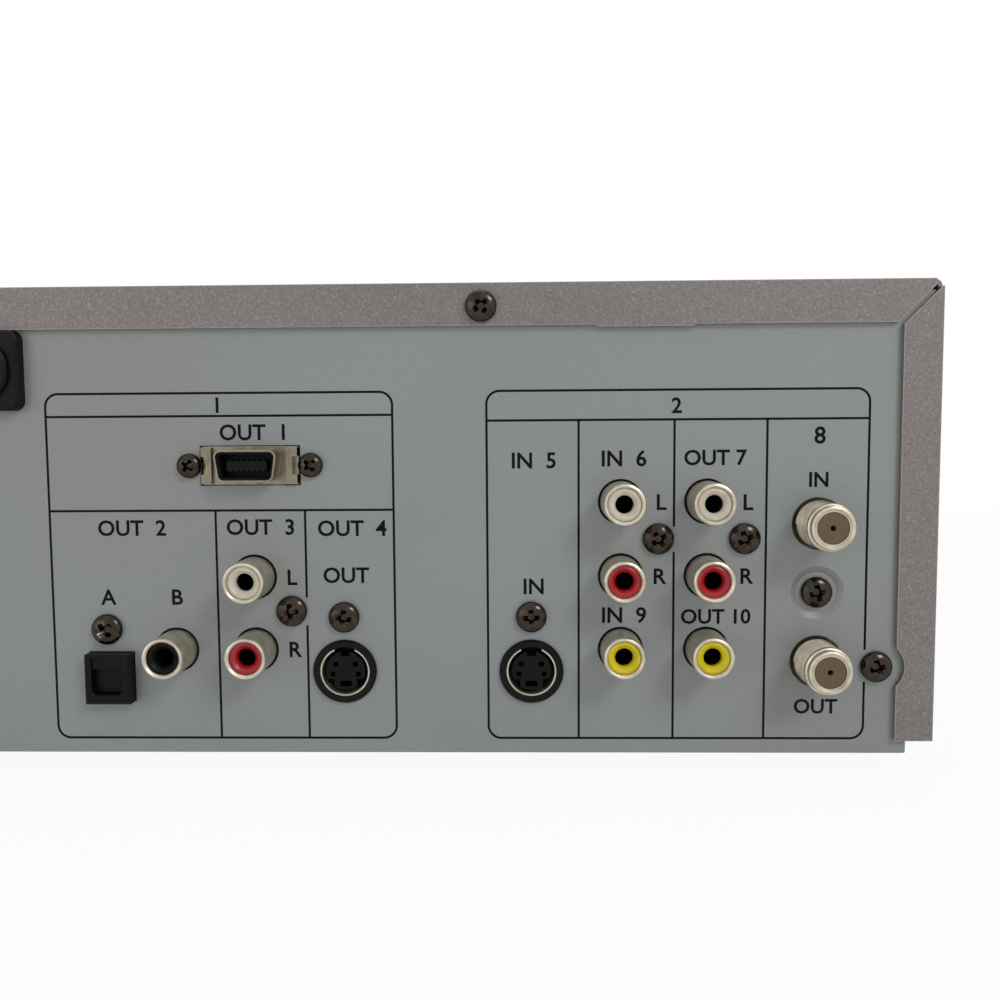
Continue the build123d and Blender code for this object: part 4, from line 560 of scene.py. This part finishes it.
def screw_mesh(name, radius, height, reach):
    """A pan-head screw along +Z, its seat at Z = 0; sizes are millimetres."""
    shank = radius * SHANK_SHARE
    seat, low, top = SKIRT
    points = [(0, -reach), (shank, -reach), (shank, 0), (radius * seat, 0), (radius, height * low)]
    points += [(radius, height * top)]
    for i in range(1, DOME_STEPS):
        angle = math.radians(90 / DOME_STEPS * i)
        points.append((radius * math.cos(angle), height * (top + (1 - top) * math.sin(angle))))
    made = lathe(name, points + [(0, height)], [(0, 0, 0)], SCREW_SEGMENTS, "Z")
    for turn in (0, math.pi / 2):
        cutter = recess_bar(radius, height, turn)
        modifier = made.modifiers.new("recess", "BOOLEAN")
        modifier.operation = "DIFFERENCE"
        modifier.solver = "EXACT"
        modifier.object = cutter
        made = bake(made)
        bpy.data.objects.remove(cutter)
    softened = made.modifiers.new("soften", "BEVEL")
    softened.width = SCREW_BREAK * MM
    softened.segments = 2
    softened.limit_method = "ANGLE"
    softened.angle_limit = math.radians(SCREW_EDGE)
    return smooth(bake(made), SCREW_EDGE)


def screw_tree():
    """A screw on each point, stood up along the point's way and turned by its turn and a random one."""
    tree = bpy.data.node_groups.new("screws_on_points", "GeometryNodeTree")
    tree.is_modifier = True
    face = tree.interface
    face.new_socket("Points", in_out="INPUT", socket_type="NodeSocketGeometry")
    face.new_socket("Screw", in_out="INPUT", socket_type="NodeSocketObject")
    face.new_socket("Random Turn", in_out="INPUT", socket_type="NodeSocketFloat")
    face.new_socket("Seed", in_out="INPUT", socket_type="NodeSocketInt").default_value = SCREW_SEED
    face.new_socket("Material", in_out="INPUT", socket_type="NodeSocketMaterial")
    face.new_socket("Geometry", in_out="OUTPUT", socket_type="NodeSocketGeometry")
    given = add(tree, "NodeGroupInput").outputs
    screw = add(tree, "GeometryNodeObjectInfo", {}, {"Object": given["Screw"]})
    way = add(tree, "GeometryNodeInputNamedAttribute", {"data_type": "FLOAT_VECTOR"},
              {"Name": "way"})
    turn = add(tree, "GeometryNodeInputNamedAttribute", {"data_type": "FLOAT"}, {"Name": "turn"})
    least = add(tree, "ShaderNodeMath", {"operation": "MULTIPLY"},
                {0: given["Random Turn"], 1: -1.0})
    chance = add(tree, "FunctionNodeRandomValue", {"data_type": "FLOAT"},
                 {2: least.outputs[0], 3: given["Random Turn"], "Seed": given["Seed"]})
    whole = add(tree, "ShaderNodeMath", {"operation": "ADD"},
                {0: turn.outputs[0], 1: chance.outputs[1]})
    stand = add(tree, "FunctionNodeAlignRotationToVector", {"axis": "Z"},
                {"Vector": way.outputs[0]})
    about = add(tree, "ShaderNodeCombineXYZ", {}, {"Z": whole.outputs[0]})
    spin = add(tree, "FunctionNodeRotateRotation", {"rotation_space": "LOCAL"},
               {"Rotation": stand.outputs["Rotation"], "Rotate By": about.outputs["Vector"]})
    placed = add(tree, "GeometryNodeInstanceOnPoints", {},
                 {"Points": given["Points"], "Instance": screw.outputs["Geometry"],
                  "Rotation": spin.outputs["Rotation"]})
    real = add(tree, "GeometryNodeRealizeInstances", {}, {"Geometry": placed.outputs["Instances"]})
    done = add(tree, "GeometryNodeSetMaterial", {},
               {"Geometry": real.outputs["Geometry"], "Material": given["Material"]})
    add(tree, "NodeGroupOutput", {}, {"Geometry": done.outputs["Geometry"]})
    return tree


def screw_points(name, spots):
    """Points for the tree; spots are (place in mm, way, turn in degrees)."""
    mesh = bpy.data.meshes.new(name)
    mesh.from_pydata([Vector(place) * MM for place, way, turn in spots], [], [])
    mesh.attributes.new("way", "FLOAT_VECTOR", "POINT")
    mesh.attributes.new("turn", "FLOAT", "POINT")
    for i, (place, way, turn) in enumerate(spots):
        mesh.attributes["way"].data[i].vector = way
        mesh.attributes["turn"].data[i].value = math.radians(turn)
    return mesh


def dress_screws():
    tree = screw_tree()
    for node, axis, turns, chance in SCREW_ROWS:
        solids = islands(node)
        radius = (solids[0][1].z - solids[0][0].z) / 2
        reach = (solids[0][1] - solids[0][0])[axis] - SCREW_HEAD
        spots = []
        for (low, high), turn in zip(solids, turns):
            outward = 1.0 if axis == 1 or high.x > 0 else -1.0
            way = Vector((0, outward, 0)) if axis else Vector((outward, 0, 0))
            end = high if outward > 0 else low
            place = (low + high) / 2
            place[axis] = end[axis] - outward * SCREW_HEAD
            spots.append((place, way, turn))
        single = screw_mesh("single_screw", radius, SCREW_HEAD, reach)
        values = {"Screw": single, "Random Turn": chance, "Seed": SCREW_SEED,
                  "Material": black_nickel}
        made = grow(node + "_dressed", tree, values, mesh=screw_points(node, spots))
        bpy.data.objects.remove(single)
        dress(smooth(made, SCREW_EDGE), "case", "dark_screw", black_nickel, node)


# ---- antenna sockets: a turned barrel with its thread
THREAD_PITCH = 25.4 / 32
THREAD_DEPTH = 0.45
THREAD_CREST = 0.26           # radius of the rounded ridge
THREAD_ROOM = (0.4, 2.3)      # bare core at the panel, and the plain ring at the tip
THREAD_EDGE = 70              # degrees from which the ridge's own edges are sharp
SOCKET_SEGMENTS = 96
SOCKET_BORE = 3.15            # radius of the hole that holds the insulator
FLANGE_STEP = 0.4             # the flange at the root is this much larger all round than the thread
FLANGE_SINK = 0.7             # from the flange's face out to the panel's outer face
NOSE_STEP = 0.4               # the nose is this much smaller all round than the thread
SHOULDER_CHAMFER = 0.15
# the ring's outline after its shoulder, as (mm added to the radius, mm back from the tip)
CREST_FORM = ((0.0, 1.75), (-0.1, 1.4))
NOSE_FORM = ((0.0, 1.2), (0.0, 0.45), (-0.12, 0.15), (-0.4, 0.0))
MOUTH_FORM = ((0.5, 0.0), (0.36, 0.12), (0.3, 0.35), (0.0, 0.35))


def thread_tree():
    """A helical ridge along +Z."""
    tree = bpy.data.node_groups.new("socket_thread", "GeometryNodeTree")
    tree.is_modifier = True
    face = tree.interface
    for label in ("Radius", "Pitch", "Crest", "Length"):
        face.new_socket(label, in_out="INPUT", socket_type="NodeSocketFloat")
    face.new_socket("Material", in_out="INPUT", socket_type="NodeSocketMaterial")
    face.new_socket("Geometry", in_out="OUTPUT", socket_type="NodeSocketGeometry")
    given = add(tree, "NodeGroupInput").outputs
    turns = add(tree, "ShaderNodeMath", {"operation": "DIVIDE"},
                {0: given["Length"], 1: given["Pitch"]})
    middle = add(tree, "ShaderNodeMath", {"operation": "SUBTRACT"},
                 {0: given["Radius"], 1: given["Crest"]})
    helix = add(tree, "GeometryNodeCurveSpiral", {},
                {"Resolution": 64, "Rotations": turns.outputs[0], "Start Radius": middle.outputs[0],
                 "End Radius": middle.outputs[0], "Height": given["Length"]})
    upright = add(tree, "GeometryNodeSetCurveNormal", {"mode": "Z_UP"},
                  {"Curve": helix.outputs["Curve"]})
    ridge = add(tree, "GeometryNodeCurvePrimitiveCircle", {"mode": "RADIUS"},
                {"Resolution": 6, "Radius": given["Crest"]})
    swept = add(tree, "GeometryNodeCurveToMesh", {},
                {"Curve": upright.outputs["Curve"], "Profile Curve": ridge.outputs["Curve"],
                 "Fill Caps": True})
    real = add(tree, "GeometryNodeRealizeInstances", {}, {"Geometry": swept.outputs["Mesh"]})
    done = add(tree, "GeometryNodeSetMaterial", {},
               {"Geometry": real.outputs["Geometry"], "Material": given["Material"]})
    add(tree, "NodeGroupOutput", {}, {"Geometry": done.outputs["Geometry"]})
    return tree


def socket_core(middle, low, radius, root, shoulder):
    """The tube inside the thread, with its flange behind the panel's outer face."""
    flange, face = radius + FLANGE_STEP, PANEL - FLANGE_SINK
    points = [(SOCKET_BORE, low), (flange, low), (flange, face), (root, face)]
    points += [(root, shoulder), (SOCKET_BORE, shoulder)]
    return lathe("core", points, [(middle.x, 0, middle.z)], SOCKET_SEGMENTS)


def socket_ring(middle, tip, radius, root, shoulder):
    """The plain ring at the tip: crest, stepped nose and rolled mouth."""
    points = [(SOCKET_BORE, shoulder), (root, shoulder), (radius, shoulder + SHOULDER_CHAMFER)]
    nose = radius - NOSE_STEP
    for around, form in ((radius, CREST_FORM), (nose, NOSE_FORM), (SOCKET_BORE, MOUTH_FORM)):
        points += [(around + more, tip - back) for more, back in form]
    return lathe("ring", points, [(middle.x, 0, middle.z)], SOCKET_SEGMENTS)


def dress_antenna_sockets():
    tree = thread_tree()
    cores, bright = [], []
    for low, high in islands("antenna_sockets"):
        middle, tip = (low + high) / 2, high.y
        radius = (high.x - low.x) / 2 - FLANGE_STEP
        root, shoulder = radius - THREAD_DEPTH, tip - THREAD_ROOM[1]
        cores.append(socket_core(middle, low.y, radius, root, shoulder))
        bright.append(socket_ring(middle, tip, radius, root, shoulder))
        start = PANEL + THREAD_ROOM[0]
        values = {"Radius": radius * MM, "Pitch": THREAD_PITCH * MM, "Crest": THREAD_CREST * MM,
                  "Length": (shoulder - start) * MM, "Material": warm_nickel}
        lay = Matrix.Translation(Vector((middle.x, start, middle.z)) * MM)
        lay = lay @ Matrix.Rotation(-math.pi / 2, 4, "X")
        bright.append(smooth(grow("thread", tree, values, lay), THREAD_EDGE))
    dress(join("antenna_threads", bright), "case", "nickel", warm_nickel, "antenna_sockets")
    # the cores between the ridges: a darker copy of the nickel, as painted shade
    dress(join("antenna_cores", cores), "case", "nickel", groove_nickel)


# ---- scene
WORLD_LEVEL = 0.44            # what the white surroundings give to surfaces
FLOOR_RADIUS = 3.0
FLOOR_GLOW = (0.92, 1.0)      # share of plain white the camera sees near the object, and far off
GLOW_REACH = (0.35, 0.9)      # metres from the middle between the two
# (name, place in metres, size in metres, power in watts)
LAMPS = (("key", (-0.75, 0.9, 0.75), 0.35, 5.0), ("fill", (0.7, 0.9, 0.1), 0.8, 2.0),
         ("top", (0.0, -0.1, 1.8), 1.2, 6.0), ("front", (0.2, -1.8, 1.2), 1.4, 12.0))
LAMPS_AIM = (0, 0, 0.05)


def seen_directly(tree):
    """1 for rays that show the surroundings: from the camera, in gloss and through glass."""
    path = add(tree, "ShaderNodeLightPath").outputs
    seen = add(tree, "ShaderNodeMath", {"operation": "MAXIMUM"},
               {0: path["Is Camera Ray"], 1: path["Is Glossy Ray"]})
    return add(tree, "ShaderNodeMath", {"operation": "MAXIMUM"},
               {0: seen.outputs[0], 1: path["Is Transmission Ray"]}).outputs[0]


def studio_world():
    world = bpy.data.worlds.new("studio")
    bpy.context.scene.world = world
    world.use_nodes = True
    tree = world.node_tree
    tree.nodes.clear()
    level = add(tree, "ShaderNodeMapRange", {},
                {"Value": seen_directly(tree), "To Min": WORLD_LEVEL, "To Max": 1.0})
    back = add(tree, "ShaderNodeBackground", {},
               {"Color": (1, 1, 1, 1), "Strength": level.outputs["Result"]})
    add(tree, "ShaderNodeOutputWorld", {}, {"Surface": back.outputs[0]})


def studio_floor():
    """Pale floor that keeps a soft shadow near the object and runs out into the white."""
    form = bmesh.new()
    bmesh.ops.create_circle(form, cap_ends=True, segments=96, radius=FLOOR_RADIUS)
    mesh = bpy.data.meshes.new("floor")
    form.to_mesh(mesh)
    form.free()
    floor = new_object("floor", mesh)
    paper = bpy.data.materials.new("studio_paper")
    paper.use_nodes = True
    tree = paper.node_tree
    tree.nodes.clear()
    place = add(tree, "ShaderNodeTexCoord").outputs["Object"]
    away = add(tree, "ShaderNodeVectorMath", {"operation": "LENGTH"}, {0: place})
    share = add(tree, "ShaderNodeMapRange", {},
                {"Value": away.outputs["Value"], "From Min": GLOW_REACH[0], "From Max": GLOW_REACH[1],
                 "To Min": FLOOR_GLOW[0], "To Max": FLOOR_GLOW[1]})
    glow = add(tree, "ShaderNodeMath", {"operation": "MULTIPLY"},
               {0: share.outputs["Result"], 1: seen_directly(tree)})
    matt = add(tree, "ShaderNodeBsdfDiffuse", {}, {"Color": linear("#F4F4F4")})
    white = add(tree, "ShaderNodeEmission", {}, {"Color": (1, 1, 1, 1), "Strength": 1.0})
    mixed = add(tree, "ShaderNodeMixShader", {},
                {0: glow.outputs[0], 1: matt.outputs[0], 2: white.outputs[0]})
    add(tree, "ShaderNodeOutputMaterial", {}, {"Surface": mixed.outputs[0]})
    floor.data.materials.append(paper)


def studio_lamps():
    for name, place, size, power in LAMPS:
        lamp = bpy.data.lights.new(name, "AREA")
        lamp.size = size
        lamp.energy = power
        holder = new_object(name, lamp)
        holder.location = place
        aim = Vector(LAMPS_AIM) - Vector(place)
        holder.rotation_euler = aim.to_track_quat("-Z", "Y").to_euler()


# the photograph's place and angles, from the sockets' known sizes
CAMERA_FROM_SIDE = 82.4      # mm in from the cover's right side
CAMERA_BEHIND = 190.6        # mm behind the rear panel
CAMERA_ABOVE = 66.3          # mm above the panel's lower edge
CAMERA_HEADING = 181.38      # degrees about Z
CAMERA_TILT = 85.70          # degrees up from straight down
CAMERA_ROLL = -0.38
CAMERA_LENS = 34.2           # mm of focal length
CAMERA_SENSOR = 36.0         # mm across
CAMERA_NEAR = 0.01           # metres


def place_camera():
    lens = bpy.data.cameras.new("camera")
    lens.lens = CAMERA_LENS
    lens.sensor_width = CAMERA_SENSOR
    lens.clip_start = CAMERA_NEAR
    camera = new_object("camera", lens)
    place = Vector((SIDE + CAMERA_FROM_SIDE, PANEL + CAMERA_BEHIND, BASE + CAMERA_ABOVE)) * MM
    turn = Matrix.Rotation(math.radians(CAMERA_HEADING), 4, "Z")
    turn = turn @ Matrix.Rotation(math.radians(CAMERA_TILT), 4, "X")
    turn = turn @ Matrix.Rotation(math.radians(CAMERA_ROLL), 4, "Z")
    camera.matrix_world = Matrix.Translation(place) @ turn
    bpy.context.scene.camera = camera


dress_frame()
dress_screws()
dress_antenna_sockets()
printed_frames()
printed_rules()
printed_marks()
bpy.context.scene.view_settings.view_transform = "Standard"
studio_world()
studio_floor()
studio_lamps()
place_camera()
